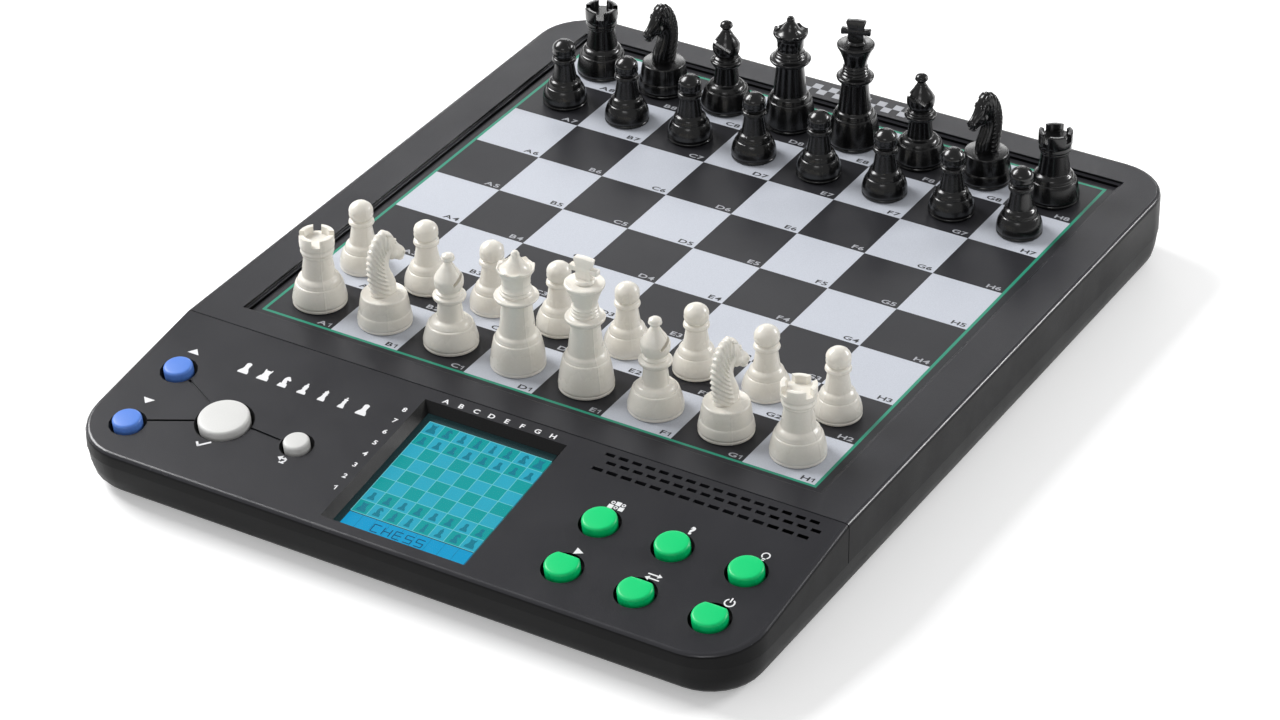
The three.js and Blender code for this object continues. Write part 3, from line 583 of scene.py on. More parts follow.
def build_case():
    cutters, holes = key_holes()
    shells = {}
    for name, node, width, material, body, slot in SHELLS:
        mesh = bevelled(node, width, cutters if node == "control_panel" else ())
        shell = piece(name, mesh, material, body, None, [node])
        normals = shell.modifiers.new("face_normals", "WEIGHTED_NORMAL")
        normals.keep_sharp = True
        shells[name] = mesh
    panel = shells["panel_shell"]
    # The display well's walls get a near-black glossy plastic: painted shade in the well, which is the same
    # charcoal plastic as the panel.
    panel.materials.append(moulded("well_gloss_and_painted_shade", rgb(11, 11, 12), 0.22, 0.01 * MM, 0.6 * MM, 0.4).material)
    panel.materials.append(HOLE_SHADE)
    for mesh in (shells["frame_shell"], panel):
        mesh.materials.append(HOUSING_PLASTIC_AND_WALL_SHADE)
        mesh.materials.append(EDGE_HIGHLIGHT_PLASTIC)
        wall, edge = len(mesh.materials) - 2, len(mesh.materials) - 1
        for face in mesh.polygons:
            middle, tilt = face.center, face.normal.z
            if abs(middle.x) <= FRAME_HIGH.x - RIM and abs(middle.y) <= FRAME_HIGH.y - RIM:
                continue
            # Painted shade on the outer walls, and a painted highlight with real gloss on the rounded outer
            # edge.
            if tilt < OUTER_TILT:
                face.material_index = wall
            elif tilt < EDGE_TILT and middle.z > CASE_TOP - EDGE_REACH:
                face.material_index = edge
    for face in panel.polygons:
        middle = TO_PANEL @ face.center
        if middle.z > WALL_DROP:
            continue
        # Faces below the face line in the display well get painted shade; those in the key holes get the hole
        # shade.
        inside = WELL_REACH["left"] < middle.x / MM < WELL_REACH["right"]
        if inside and WELL_REACH["far"] < -middle.y / MM < WELL_REACH["near"]:
            face.material_index = 1
        elif any(math.hypot(middle.x - c.x, middle.y - c.y) < reach for c, reach in holes):
            face.material_index = 2


def build_feet():
    for node in ("foot_front_left", "foot_front_right", "foot_rear_left", "foot_rear_right"):
        low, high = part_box(node)
        radius = (high.x - low.x) / 2
        height = high.z - low.z
        profile = [(0, 0.3 * MM), (radius - 1.8 * MM, 0.3 * MM), (radius - 1.4 * MM, 0)]
        profile += [(radius - 0.5 * MM, 0), (radius - 0.1 * MM, 0.2 * MM), (radius, 0.6 * MM)]
        profile += [(radius, height), (0, height)]
        mesh = sharpened(new_mesh(node + "_mesh", *lathe(profile, 48)))
        place = shift((low.x + high.x) / 2, (low.y + high.y) / 2, low.z)
        piece(node.replace("foot", "foot_pad"), mesh, FOOT_RUBBER, "case", place, [node])


# ---- Keys --------------------------------------------------------------------------------------------
FLATTED = ("key_start", "key_swap", "key_power")
KEY_LOOKS = {
    "key_up": (BLUE_KEY, "blue_keys"),
    "key_down": (BLUE_KEY, "blue_keys"),
    "key_enter": (WHITE_KEY, "white_keys"),
    "key_back": (WHITE_KEY, "white_keys"),
}
CAP_RISE = 2.3 * MM
CAP_EDGE = 1.05 * MM
CAP_CROWN = 0.12 * MM
FLANGE_SHADE = -1.5 * MM  # the flange below this is dark
FLAT_SHARE = 0.74  # how far out the flat of a flatted key is, as a share of its radius
FLAT_BOW = 0.1  # how much of the circle is left beyond the flat
KEY_COLUMNS = 96


def key_numbers(node):
    """(cap radius, flange radius, flange bottom, flange top, centre) in the panel's own frame."""
    points = [TO_PANEL @ v.co for v in NODES[node].data.vertices]
    bottom = extent(points, 2)[0]
    flange = [p for p in points if p.z < bottom + 0.3 * MM]
    left, right = extent(flange, 0)
    near, far = extent(flange, 1)
    cap_left, cap_right = extent([p for p in points if p.z > 0.5 * MM], 0)
    flange_top = max(p.z for p in points if p.z < FLANGE_SHADE)
    centre = Vector(((left + right) / 2, (near + far) / 2, 0))
    return (cap_right - cap_left) / 2, (right - left) / 2, bottom, flange_top, centre


def key_outline(radius, flatted):
    """A circle, or a circle whose rear side is cut flat, with the flat's corners rounded."""
    points = []
    flat = FLAT_SHARE * radius
    for i in range(KEY_COLUMNS):
        angle = 2 * math.pi * i / KEY_COLUMNS
        x, y = radius * math.cos(angle), radius * math.sin(angle)
        if flatted and y > flat:
            y = flat + FLAT_BOW * (y - flat)
        points.append((x, y))
    return points


def key_mesh(node):
    cap, flange, bottom, flange_top, _ = key_numbers(node)
    flatted = node in FLATTED
    # (radius, flatted, height, share of the radius)
    rings = [(flange, False, bottom, 1.0), (flange, False, flange_top, 1.0), (cap, flatted, flange_top, 1.0)]
    rings.append((cap, flatted, CAP_RISE - CAP_EDGE, 1.0))
    for i in range(1, 6):
        angle = math.radians(18 * i)
        rise = CAP_RISE - CAP_EDGE + CAP_EDGE * math.sin(angle)
        rings.append((cap, flatted, rise, 1 - CAP_EDGE * (1 - math.cos(angle)) / cap))
    for share in (0.75, 0.5, 0.25):
        crown = CAP_CROWN * (1 - share * share)
        rings.append((cap, flatted, CAP_RISE + crown, share * (1 - CAP_EDGE / cap)))
    vertices = []
    for radius, cut, height, share in rings:
        vertices.extend((x * share, y * share, height) for x, y in key_outline(radius, cut))
    vertices.append((0, 0, CAP_RISE + CAP_CROWN))
    vertices.append((0, 0, bottom))
    top, base = len(vertices) - 2, len(vertices) - 1
    faces = loft_faces(len(rings) - 1, KEY_COLUMNS)
    last = (len(rings) - 1) * KEY_COLUMNS
    for i in range(KEY_COLUMNS):
        j = (i + 1) % KEY_COLUMNS
        faces.append((last + i, last + j, top))
        faces.append((j, i, base))
    return sharpened(new_mesh(node + "_cap", vertices, faces), 40)


def build_keys():
    for node in KEY_NODES:
        material, slot = KEY_LOOKS.get(node, (GREEN_KEY, "green_keys"))
        mesh = key_mesh(node)
        place = PANEL @ shift(*key_numbers(node)[4])
        piece(node.replace("key_", "cap_"), mesh, material, node, place, [node])
        mesh.materials.append(HOLE_SHADE)
        for face in mesh.polygons:
            face.material_index = 1 if face.center.z < FLANGE_SHADE else 0


# ---- Chess pieces ------------------------------------------------------------------------------------
# Profiles are corners, (radius, height[, bulge of the arc that leads there]), in millimetres.
def footed(rim, step, *rest):
    """The foot that every piece but the pawn has: a thin ring, then a cup that narrows to a rim."""
    low = [(0, 0), (8.9, 0), (9.5, 0.3), (9.55, 1.0), (9.3, 1.3), (9.6, 2.0, 0.1), (9.5, 2.8, 0.03)]
    return [*low, (rim, step - 0.25, 0.016), (rim - 0.15, step), *rest]


PROFILES = {
    "pawn": [
        (0, 0), (7.7, 0), (8.25, 0.3), (8.3, 0.95), (8.05, 1.2), (8.3, 1.8, 0.1), (8.3, 2.5, 0.05),
        (6.85, 7.0, 0.06), (6.7, 7.2), (6.4, 7.35), (6.15, 8.3, 0.04), (5.2, 9.9, 0.1),
        (4.75, 10.2), (4.6, 10.6, -0.08), (3.6, 17.1, -0.01), (4.15, 17.5, -0.15),
        (4.42, 18.4, 0.25), (3.95, 19.2, 0.2), (3.3, 19.4), (4.2, 22, 0.16), (3.0, 24.95, 0.16),
        (0, 26.2, 0.1),
    ],
    "rook": footed(
        8.3, 8.3,
        (7.8, 8.45), (7.55, 9.2, 0.04), (6.5, 10.9, 0.1), (6.1, 11.2), (5.85, 11.8, -0.1),
        (4.9, 19.0), (5.35, 19.3), (5.4, 20.1, 0.15), (5.75, 20.4), (5.8, 21.5, 0.12),
        (5.75, 21.9), (6.15, 23.0, -0.12), (6.2, 27.4), (4.5, 27.4), (4.3, 24.7), (0, 24.7),
    ),
    "bishop": footed(
        8.0, 8.3,
        (7.3, 8.45), (6.9, 9.2, 0.05), (5.5, 10.3, 0.1), (4.95, 10.5), (4.65, 11.1, -0.12),
        (3.95, 17.3), (4.7, 17.6, -0.1), (5.75, 19, 0.12), (5.3, 19.9, 0.25), (4.5, 20.4, -0.1),
        (4.55, 21.2, 0.35), (3.9, 21.5), (4.05, 21.9), (5.05, 25.4, 0.1), (4.6, 27.1, 0.1),
        (3.45, 28.9, 0.02), (2.2, 30.9, -0.02), (1.35, 32.5, -0.06), (1.95, 33.2, -0.1),
        (2.15, 34.2, 0.3), (1.6, 35.3, 0.2), (0, 35.8, 0.08),
    ),
    "queen": footed(
        8.2, 11.0,
        (7.65, 11.15), (7.4, 12.0, 0.04), (6.75, 13.2, 0.1), (6.45, 13.4), (6.2, 14.0, -0.1),
        (5.1, 25.4), (6.4, 26.2, -0.12), (7.6, 27.2, 0.1), (7.35, 28.0, 0.25), (5.7, 28.5, -0.08),
        (5.35, 28.9), (5.5, 29.7, 0.4), (5.05, 30.1), (5.15, 30.8, 0.4), (4.9, 31.2),
        (4.95, 32.9, -0.1), (6.35, 37.7, -0.1), (6.45, 38.5), (6.1, 38.7), (5.75, 38.1),
        (4.6, 38.6, -0.05), (2.7, 40.9, -0.06), (1.45, 43.2, -0.05), (1.2, 44.2, 0.15),
        (0, 44.8, 0.25),
    ),
    "king": footed(
        8.0, 11.8,
        (7.45, 11.95), (7.2, 12.8, 0.04), (6.6, 14.0, 0.1), (6.3, 14.2), (6.1, 14.8, -0.1),
        (4.9, 25.4), (6.0, 26.2, -0.12), (6.85, 27.3, 0.12), (6.5, 28.2, 0.25), (4.9, 28.7, -0.08),
        (4.6, 29.0), (4.8, 29.8, 0.4), (4.3, 30.2), (4.55, 31.0, 0.4), (4.15, 31.4),
        (4.35, 32.2, 0.4), (4.1, 32.7), (5.4, 37.0, -0.03), (6.7, 39.7, -0.03), (6.85, 40.9, 0.12),
        (6.3, 41.15), (3.5, 41.2), (3.4, 42.1, 0.25), (2.6, 42.5, 0.2), (0, 42.6),
    ),
    "drum": footed(
        9.05, 5.3,
        (8.8, 5.45), (8.05, 11.1, 0.02), (7.5, 11.75, 0.2), (0, 11.85),
    ),
}


SEAM_ANGLE = math.radians(-30)
SEAM_RIDGE = 0.11 * MM


def turned_mesh(kind):
    """The turned body of a piece with the two fine ridges that its mould left."""
    profile = [(r * MM, z * MM) for r, z in traced(PROFILES[kind], 0.15)]
    return new_mesh(kind + "_turned", *lathe(profile, 96, (SEAM_ANGLE, SEAM_ANGLE + math.pi), SEAM_RIDGE))


def block(size, place):
    """A box of that size in millimetres, centred on the place matrix's origin."""
    half = Vector(size) / 2 * MM
    return new_mesh("block", *moved(box_part(-half, half), place))


def rook_mesh():
    """Two crossed cuts leave four crenels."""
    cuts = [block((14, 2.9, 3.4), spin(45 + 90 * i, "Z") @ shift(0, 0, 26.4 * MM)) for i in (0, 1)]
    return sharpened(carved(turned_mesh("rook"), cuts))


def bishop_mesh():
    """One slanting cut in the mitre."""
    place = shift(2.9 * MM, 0, 26.6 * MM) @ spin(-38, "Y") @ shift(1.2 * MM)
    return sharpened(carved(turned_mesh("bishop"), [block((6.6, 12, 1.15), place)]))


CORONET = {"low": 37.4 * MM, "high": 38.7 * MM, "inner": 5.9 * MM}
CORONET_POINTS = {"count": 8, "rise": 0.6 * MM, "flare": 0.05}


def queen_mesh():
    """Eight low points stand on the coronet's rim."""
    mesh = turned_mesh("queen")
    for vertex in mesh.vertices:
        place = vertex.co
        if math.hypot(place.x, place.y) < CORONET["inner"] or place.z < CORONET["low"]:
            continue
        point = (0.5 + 0.5 * math.cos(CORONET_POINTS["count"] * math.atan2(place.y, place.x))) ** 3
        share = (place.z - CORONET["low"]) / (CORONET["high"] - CORONET["low"])
        spread = 1 + CORONET_POINTS["flare"] * share * point
        rise = CORONET_POINTS["rise"] * share * point
        vertex.co = (place.x * spread, place.y * spread, place.z + rise)
    return mesh


# One quarter of the king's cross in millimetres: (half width, height) up the post, and
# (reach, half height) along an arm.
CROSS_POST = [
    (2.1, 41.8), (3.1, 43.3), (2.9, 44.6), (2.7, 45.9), (2.9, 47.2), (3.7, 49.8), (3.3, 50.3), (0, 50.5),
]
CROSS_ARM = [(2.8, 0.85), (5.1, 1.15), (5.5, 0.8)]
CROSS_ARM_HEIGHT = 45.9
CROSS_HALF_THICKNESS = 1.2 * MM


def king_mesh():
    """A flared cross stands on the crown."""
    post = CROSS_POST + [(-x, z) for x, z in reversed(CROSS_POST[:-1])]
    arm = [(x, CROSS_ARM_HEIGHT - z) for x, z in CROSS_ARM]
    arm += [(x, CROSS_ARM_HEIGHT + z) for x, z in reversed(CROSS_ARM)]
    arms = arm + [(-x, z) for x, z in reversed(arm)]
    tools = []
    for points in (post, arms):
        outline = [(x * MM, z * MM) for x, z in points]
        flat = plate_part(outline, -CROSS_HALF_THICKNESS, CROSS_HALF_THICKNESS)
        tools.append(softened(outward(new_mesh("cross", *moved(flat, spin(90, "X")))), 0.3 * MM))
    return sharpened(carved(turned_mesh("king"), tools, "UNION"))


# The horse's head in its own side view: pairs of (forward, up) points on the throat side and on the
# crest side with the half width between them, from the foot of the neck over the poll to the muzzle.
HORSE = [
    ((4.7, 11.4), (-4.3, 11.4), 3.0), ((4.8, 13.4), (-4.9, 14.2), 3.1), ((4.5, 15.8), (-5.4, 17.6), 3.1),
    ((3.7, 18.0), (-5.8, 21.4), 3.0), ((2.7, 20.2), (-5.7, 25.2), 2.9), ((2.1, 22.0), (-4.9, 29.0), 2.75),
    ((2.0, 23.2), (-3.4, 32.4), 2.6), ((2.3, 24.0), (-1.2, 34.8), 2.5), ((2.9, 24.3), (1.4, 35.6), 2.4),
    ((3.6, 24.2), (3.4, 34.6), 2.4), ((4.3, 23.9), (4.8, 32.2), 2.3), ((5.1, 23.4), (6.1, 30.0), 1.95),
    ((6.0, 22.9), (7.4, 28.3), 1.65), ((7.2, 22.9), (8.8, 26.8), 1.6), ((8.1, 23.4), (9.2, 25.6), 1.3),
]
MANE_PITCH = 2.2  # millimetres between strands along the crest
MANE_DEPTH = 0.3
MANE_SWELL = 0.25
MANE_FALL = 3.4  # how far a strand slants from the crest to the side
MANE_END = 0.6  # how far along the loft the mane reaches
HORSE_LEVELS, HORSE_COLUMNS = 110, 72


def curve_through(points, share):
    """A point on the smooth curve through the points, share running from 0 to 1."""
    place = share * (len(points) - 1)
    i = min(int(place), len(points) - 2)
    t = place - i
    p0, p1 = points[max(i - 1, 0)], points[i]
    p2, p3 = points[i + 1], points[min(i + 2, len(points) - 1)]
    curved = (2 * p0 - 5 * p1 + 4 * p2 - p3) * t * t + (3 * p1 - p0 - 3 * p2 + p3) * t**3
    return 0.5 * (2 * p1 + (p2 - p0) * t + curved)


def horse_part():
    """A loft of rounded sections with a rope-like mane, which faces +Y."""
    throats, crests = ([np.array(row[side]) for row in HORSE] for side in (0, 1))
    widths = [np.array([row[2]]) for row in HORSE]
    vertices = []
    run, before = 0.0, crests[0]
    for level in range(HORSE_LEVELS + 1):
        share = level / HORSE_LEVELS
        throat, crest = curve_through(throats, share), curve_through(crests, share)
        half = float(curve_through(widths, share)[0])
        run += float(np.linalg.norm(crest - before))
        before = crest
        middle, reach = (throat + crest) / 2, (crest - throat) / 2
        half_depth = float(np.linalg.norm(reach))
        toward = reach / half_depth
        mane = min(1.0, share / 0.02) * max(0.0, min(1.0, (MANE_END - share) / 0.05))
        for i in range(HORSE_COLUMNS):
            angle = 2 * math.pi * i / HORSE_COLUMNS
            side, back = math.sin(angle), math.cos(angle)
            width = half * abs(side) ** 0.85 * math.copysign(1, side)
            depth = half_depth * abs(back) ** 0.9 * math.copysign(1, back)
            # Strands fall from the crest towards the chest on both sides and meet in a point behind.
            strand = math.sin(2 * math.pi * (run + MANE_FALL * (1 - back)) / MANE_PITCH)
            covered = mane * max(0.0, min(1.0, (back + 0.12) / 0.12))
            swell = covered * (MANE_SWELL + MANE_DEPTH * strand)
            point = middle + toward * (depth + swell * back)
            vertices.append(((width + swell * side) * MM, point[0] * MM, point[1] * MM))
    return vertices, closed_faces(HORSE_LEVELS, HORSE_COLUMNS)


def ball_part(centre, radii, columns=20, rows=12):
    profile = []
    for i in range(rows + 1):
        angle = -math.pi / 2 + math.pi * i / rows
        profile.append((math.cos(angle) if 0 < i < rows else 0, math.sin(angle)))
    place = shift(*(Vector(centre) * MM)) @ Matrix.Diagonal((*(Vector(radii) * MM), 1))
    return moved(lathe(profile, columns), place)


def ear_part(side):
    """A leaf-shaped ear laid forward along the forehead."""
    profile = [(0, 0), (0.75, 0.1), (0.95, 1.0, 0.1), (0.6, 2.2, 0.06), (0, 3.0, 0.05)]
    place = shift(*(Vector((side * 1.35, 0.9, 35.1)) * MM)) @ spin(-118, "X") @ spin(side * 6, "Y")
    return moved(lathe(traced(profile, 0.1), 16), place @ Matrix.Diagonal((0.8 * MM, 0.75 * MM, MM, 1)))


# The knight's rounded features on its right side: (centre, radii) in millimetres.
FEATURES = {
    "cheek": ((1.25, 3.6, 26.8), (1.45, 2.3, 2.4)),
    "eye": ((1.75, 4.3, 31.0), (0.6, 0.85, 0.6)),
    "brow": ((1.5, 3.9, 32.0), (0.75, 1.2, 0.45)),
    "nostril": ((1.1, 8.2, 25.6), (0.75, 0.8, 0.75)),
    "lower_lip": ((0.6, 7.2, 23.2), (0.9, 1.3, 0.55)),
}


def knight_mesh():
    parts = [horse_part()]
    for side in (-1, 1):
        parts.extend(ball_part((side * x, y, z), radii) for (x, y, z), radii in FEATURES.values())
        parts.append(ear_part(side))
    tools = [outward(new_mesh("horse_part", *part)) for part in parts]
    return sharpened(carved(turned_mesh("drum"), tools, "UNION"), 50)


# Degrees that a piece is turned about its own axis. A rook's gaps are at 45 degrees to its own axes.
TURNS = {
    "white_bishop": 36,
    "black_bishop": -118,
    "white_knight": -20,
    "black_knight": 160,
    "black_king": 18,
    "white_rook_a": -14,
    "white_rook_h": 20,
    "black_rook_a": -20,
    "black_rook_h": 30,
}


PAWN_TURN = 40  # degrees from one pawn to the next


def build_chess_set():
    kinds = {
        "pawn": turned_mesh("pawn"),
        "rook": rook_mesh(),
        "bishop": bishop_mesh(),
        "queen": queen_mesh(),
        "king": king_mesh(),
        "knight": knight_mesh(),
    }
    for side, material, slot in (("white", IVORY, "ivory_pieces"), ("black", BLACK, "black_pieces")):
        shared = {}
        for kind, mesh in kinds.items():
            shared[kind] = mesh.copy()
            shared[kind].name = side + "_" + kind + "_mesh"
        for node in sorted(n for n in NODES if n.startswith(side)):
            kind = node.split("_")[1]
            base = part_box(node)[0].z
            foot = [v.co for v in NODES[node].data.vertices if v.co.z < base + 1 * MM]
            x, y = (sum(extent(foot, axis)) / 2 for axis in (0, 1))
            turn = TURNS.get(node, TURNS.get(side + "_" + kind, 0))
            if kind == "pawn":
                turn = PAWN_TURN * (ord(node[-1]) - ord("a"))
            place = shift(x, y, base) @ spin(turn, "Z")
            piece(node + "_piece", shared[kind], material, node, place, [node])


# ---- Printing ----------------------------------------------------------------------------------------
INK_HEIGHT = 0.03 * MM


def text_part(words, height, stretch, weight):
    """Flat lettering as thin solids, centred on its own middle, with capitals of a height in millimetres.
    weight thickens the strokes, as a share of the letter size."""
    curve = bpy.data.curves.new("lettering", "FONT")
    curve.body = words
    curve.extrude = 0.5
    curve.offset = weight
    curve.resolution_u = 4
    thing = added("lettering", curve)
    mesh = settled(thing)
    bpy.data.objects.remove(thing)
    spans = [extent([v.co for v in mesh.vertices], axis) for axis in range(3)]
    middle = Vector([(low + high) / 2 for low, high in spans])
    tall, deep = (spans[axis][1] - spans[axis][0] for axis in (1, 2))
    scale = height * MM / tall
    vertices = []
    for vertex in mesh.vertices:
        x, y, z = vertex.co - middle
        vertices.append(Vector((x * scale * stretch, y * scale, (z / deep + 0.5) * INK_HEIGHT)))
    return vertices, [tuple(p.vertices) for p in mesh.polygons]


def outlined(points, height=INK_HEIGHT):
    """A thin solid from an outline in millimetres, either way round."""
    area = sum(a[0] * b[1] - b[0] * a[1] for a, b in zip(points, points[1:] + points[:1]))
    ordered = points if area > 0 else points[::-1]
    return plate_part([(x * MM, y * MM) for x, y in ordered], 0, height)


def oblong(x0, y0, x1, y1, height=INK_HEIGHT):
    return outlined([(x0, y0), (x1, y0), (x1, y1), (x0, y1)], height)


def ring_part(radius, width, start=0.0, end=360.0, steps=28):
    """A flat ring, or a part of one, in millimetres and degrees."""
    parts = []
    inner, outer = radius - width / 2, radius + width / 2
    for i in range(steps):
        a, b = (math.radians(start + (end - start) * k / steps) for k in (i, i + 1))
        corners = [(inner, a), (outer, a), (outer, b), (inner, b)]
        parts.append(outlined([(r * math.cos(angle), r * math.sin(angle)) for r, angle in corners]))
    return merged(parts)


def stroke(start, end, width):
    """A straight stroke in millimetres."""
    a, b = Vector(start), Vector(end)
    along = (b - a).normalized()
    across = Vector((-along.y, along.x)) * width / 2
    return outlined([tuple(a + across), tuple(a - across), tuple(b - across), tuple(b + across)])


def mark_part(mark, height, stretch, weight):
    """A letter or a digit. The 1 is drawn with a clear flag."""
    if mark != "1":
        return text_part(mark, height, stretch, weight)
    top, foot = height / 2, -height / 2
    flag = stroke((0.5, top - 0.12), (-0.5, top - 0.75), 0.36)
    return merged([stroke((0.45, foot), (0.45, top), 0.42), flag])


TALLEST = {"king": 50.5, "knight": 35.5}  # where a piece stands taller than its turned body
SIGN_STOUTNESS = 1.15  # small signs are a little wider than the pieces


def silhouette(kind, size):
    """A chess piece's outline as a flat sign of that height, in millimetres, with its foot at 0."""
    profile = traced(PROFILES["drum" if kind == "knight" else kind], 0.05)
    scale = size / TALLEST.get(kind, max(z for _, z in profile))
    half = [(r * scale * SIGN_STOUTNESS, z * scale) for r, z in profile if r > 0.3]
    parts = [outlined(half + [(-x, z) for x, z in reversed(half)])]
    if kind == "knight":
        points = [row[0] for row in HORSE] + [row[1] for row in reversed(HORSE)]
        parts.append(outlined([(x * scale * 1.2, z * scale) for x, z in points]))
    if kind == "king":
        parts.append(stroke((0, 42 * scale), (0, TALLEST["king"] * scale), 2.6 * scale))
        parts.append(stroke((-4 * scale, 46.5 * scale), (4 * scale, 46.5 * scale), 2.4 * scale))
    return merged(parts)


def check_mark():
    return merged([stroke((-1.7, 0.1), (-0.5, -1.2), 0.62), stroke((-0.7, -1.2), (1.9, 1.4), 0.62)])


def back_arrow():
    """An arrow that turns back on itself."""
    head = outlined([(-1.9, 0.4), (-0.6, 1.4), (-0.6, -0.6)])
    shaft, tail = stroke((-0.8, 0.4), (0.9, 0.4), 0.45), stroke((-0.6, -1.1), (0.9, -1.1), 0.45)
    return merged([head, shaft, ring_part(0.75, 0.45, -90, 90, 10), tail])


def play_triangle():
    return outlined([(-1.0, 1.2), (-1.0, -1.2), (1.3, 0)])


def swap_arrows():
    parts = []
    for sign in (-1, 1):
        head = [(2.1 * sign, 0.7 * sign), (0.9 * sign, 1.5 * sign), (0.9 * sign, -0.1 * sign)]
        parts.append(stroke((-1.9 * sign, 0.7 * sign), (1.0 * sign, 0.7 * sign), 0.42))
        parts.append(outlined(head))
    return merged(parts)


def power_sign():
    return merged([ring_part(1.25, 0.42, 120, 420, 26), stroke((0, 0.2), (0, 1.8), 0.42)])


def move_dots():
    """Squares that a piece may go to."""
    parts = []
    for i in range(3):
        for j in range(2):
            x, y = (i - 1) * 1.5, (j - 0.5) * 1.5
            if (i + j) % 2 == 0:
                parts.append(oblong(x - 0.7, y - 0.7, x + 0.7, y + 0.7))
            else:
                parts.append(moved(ring_part(0.42, 0.3, 0, 360, 12), shift(x * MM, y * MM)))
    return merged(parts)


def lamp_sign():
    """A bulb with two lines of its cap."""
    cap = [stroke((-0.5, -1.15), (0.5, -1.15), 0.36), stroke((-0.35, -1.7), (0.35, -1.7), 0.3)]
    return merged([ring_part(1.0, 0.36, -55, 235, 22), *cap])


def up_triangle(sign):
    return outlined([(-1.75, -0.95 * sign), (1.75, -0.95 * sign), (0, 1.05 * sign)])


# Each sign, and where it is printed: x, and the distance down the slope from the seam, in millimetres.
LEGENDS = [
    (lambda: up_triangle(1), -113.7, 17.8),
    (lambda: up_triangle(-1), -113.6, 46.0),
    (check_mark, -83.9, 56.2),
    (back_arrow, -54.5, 51.5),
    (move_dots, 57.6, 24.0),
    (lambda: text_part("?", 2.9, 1.1, 0.05), 85.4, 24.0),
    (lamp_sign, 112.6, 24.2),
    (play_triangle, 57.6, 48.0),
    (swap_arrows, 85.2, 48.0),
    (power_sign, 112.8, 48.0),
]
LEGEND_SCALE = 1.3
# The printing on the panel, in millimetres.
DISPLAY_FILES = {"first": -20.8, "pitch": 5.97, "slope": 3.6, "stretch": 1.2}
DISPLAY_RANKS = {"x": -31.3, "first": 13.1, "pitch": 6.04, "stretch": 1.15}
PANEL_LETTERS = {"height": 2.1, "weight": 0.025}
SIGN_ROW = {"left": -92.5, "pitch": 8.1, "slope": 20.4, "drop": 0.2, "height": 5.5}
SIGN_ORDER = ("pawn", "rook", "knight", "bishop", "queen", "king", "pawn")


def on_panel(part, x, slope):
    """Puts a flat sign on the panel's face."""
    return moved(part, PANEL @ shift(x * MM, -slope * MM))


def build_panel_print():
    larger = Matrix.Diagonal((LEGEND_SCALE, LEGEND_SCALE, 1, 1))
    parts = [on_panel(moved(make(), larger), x, slope) for make, x, slope in LEGENDS]
    files, ranks = DISPLAY_FILES, DISPLAY_RANKS
    height, weight = PANEL_LETTERS["height"], PANEL_LETTERS["weight"]
    for i, letter in enumerate("ABCDEFGH"):
        sign = mark_part(letter, height, files["stretch"], weight)
        parts.append(on_panel(sign, files["first"] + i * files["pitch"], files["slope"]))
    for i, digit in enumerate("87654321"):
        sign = mark_part(digit, height, ranks["stretch"], weight)
        parts.append(on_panel(sign, ranks["x"], ranks["first"] + i * ranks["pitch"]))
    for i, kind in enumerate(SIGN_ORDER):
        sign = silhouette(kind, SIGN_ROW["height"])
        x, slope = SIGN_ROW["left"] + i * SIGN_ROW["pitch"], SIGN_ROW["slope"] + i * SIGN_ROW["drop"]
        parts.append(on_panel(sign, x, slope))
    piece("panel_print", new_mesh("panel_print_mesh", *merged(parts), smooth=False), WHITE_INK, "case")


REAR_MARK_X = 2.5 * MM
REAR_MARK = {"cell": 3.4, "columns": 14, "rows": 2}  # the cell in millimetres


def build_rear_mark():
    """A plain chequered strip on the frame behind the playfield."""
    parts = []
    cell, columns, rows = REAR_MARK.values()
    for i in range(columns):
        for j in range(rows):
            if (i + j) % 2 == 0:
                x, y = (i - columns / 2) * cell, (j - rows / 2) * cell
                parts.append(oblong(x, y, x + cell, y + cell))
    place = shift(REAR_MARK_X, (FRAME_HIGH.y + SHEET_HIGH.y) / 2, CASE_TOP)
    mesh = new_mesh("rear_mark_mesh", *moved(merged(parts), place), smooth=False)
    piece("rear_mark", mesh, LABEL_LIGHT, "case")


# Square names, in millimetres.
LABEL_HEIGHT, LABEL_STRETCH, LABEL_WEIGHT = 2.3, 1.5, 0.018
LABEL_SIDE_GAP, LABEL_FRONT_GAP = 1.4, 1.0


def square_name(name):
    """A file letter and a rank digit, centred."""
    letter, digit = (mark_part(mark, LABEL_HEIGHT, LABEL_STRETCH, LABEL_WEIGHT) for mark in name)
    letter_half = extent(letter[0], 0)[1]
    digit_low, digit_high = extent(digit[0], 0)
    gap = LABEL_HEIGHT * MM / 6
    half = letter_half + (gap + digit_high - digit_low) / 2
    return merged([moved(letter, shift(letter_half - half)), moved(digit, shift(half - digit_high))])


def build_square_labels():
    """Each square's name at its front right corner: dark on light squares and light on dark ones."""
    groups = ([], [])
    for file, letter in enumerate("ABCDEFGH"):
        for rank in range(8):
            sign = square_name(letter + str(rank + 1))
            half = extent(sign[0], 0)[1]
            x = FIELD_CENTRE.x + (file - 3) * SQUARE - LABEL_SIDE_GAP * MM - half
            y = FIELD_CENTRE.y + (rank - 4) * SQUARE + (LABEL_FRONT_GAP + LABEL_HEIGHT / 2) * MM
            groups[(file + rank) % 2].append(moved(sign, shift(x, y, FIELD_TOP)))
    names = ("square_names_light", "square_names_dark")
    for name, parts, material in zip(names, groups, (LABEL_LIGHT, LABEL_DARK)):
        piece(name, new_mesh(name + "_mesh", *merged(parts), smooth=False), material, "case")


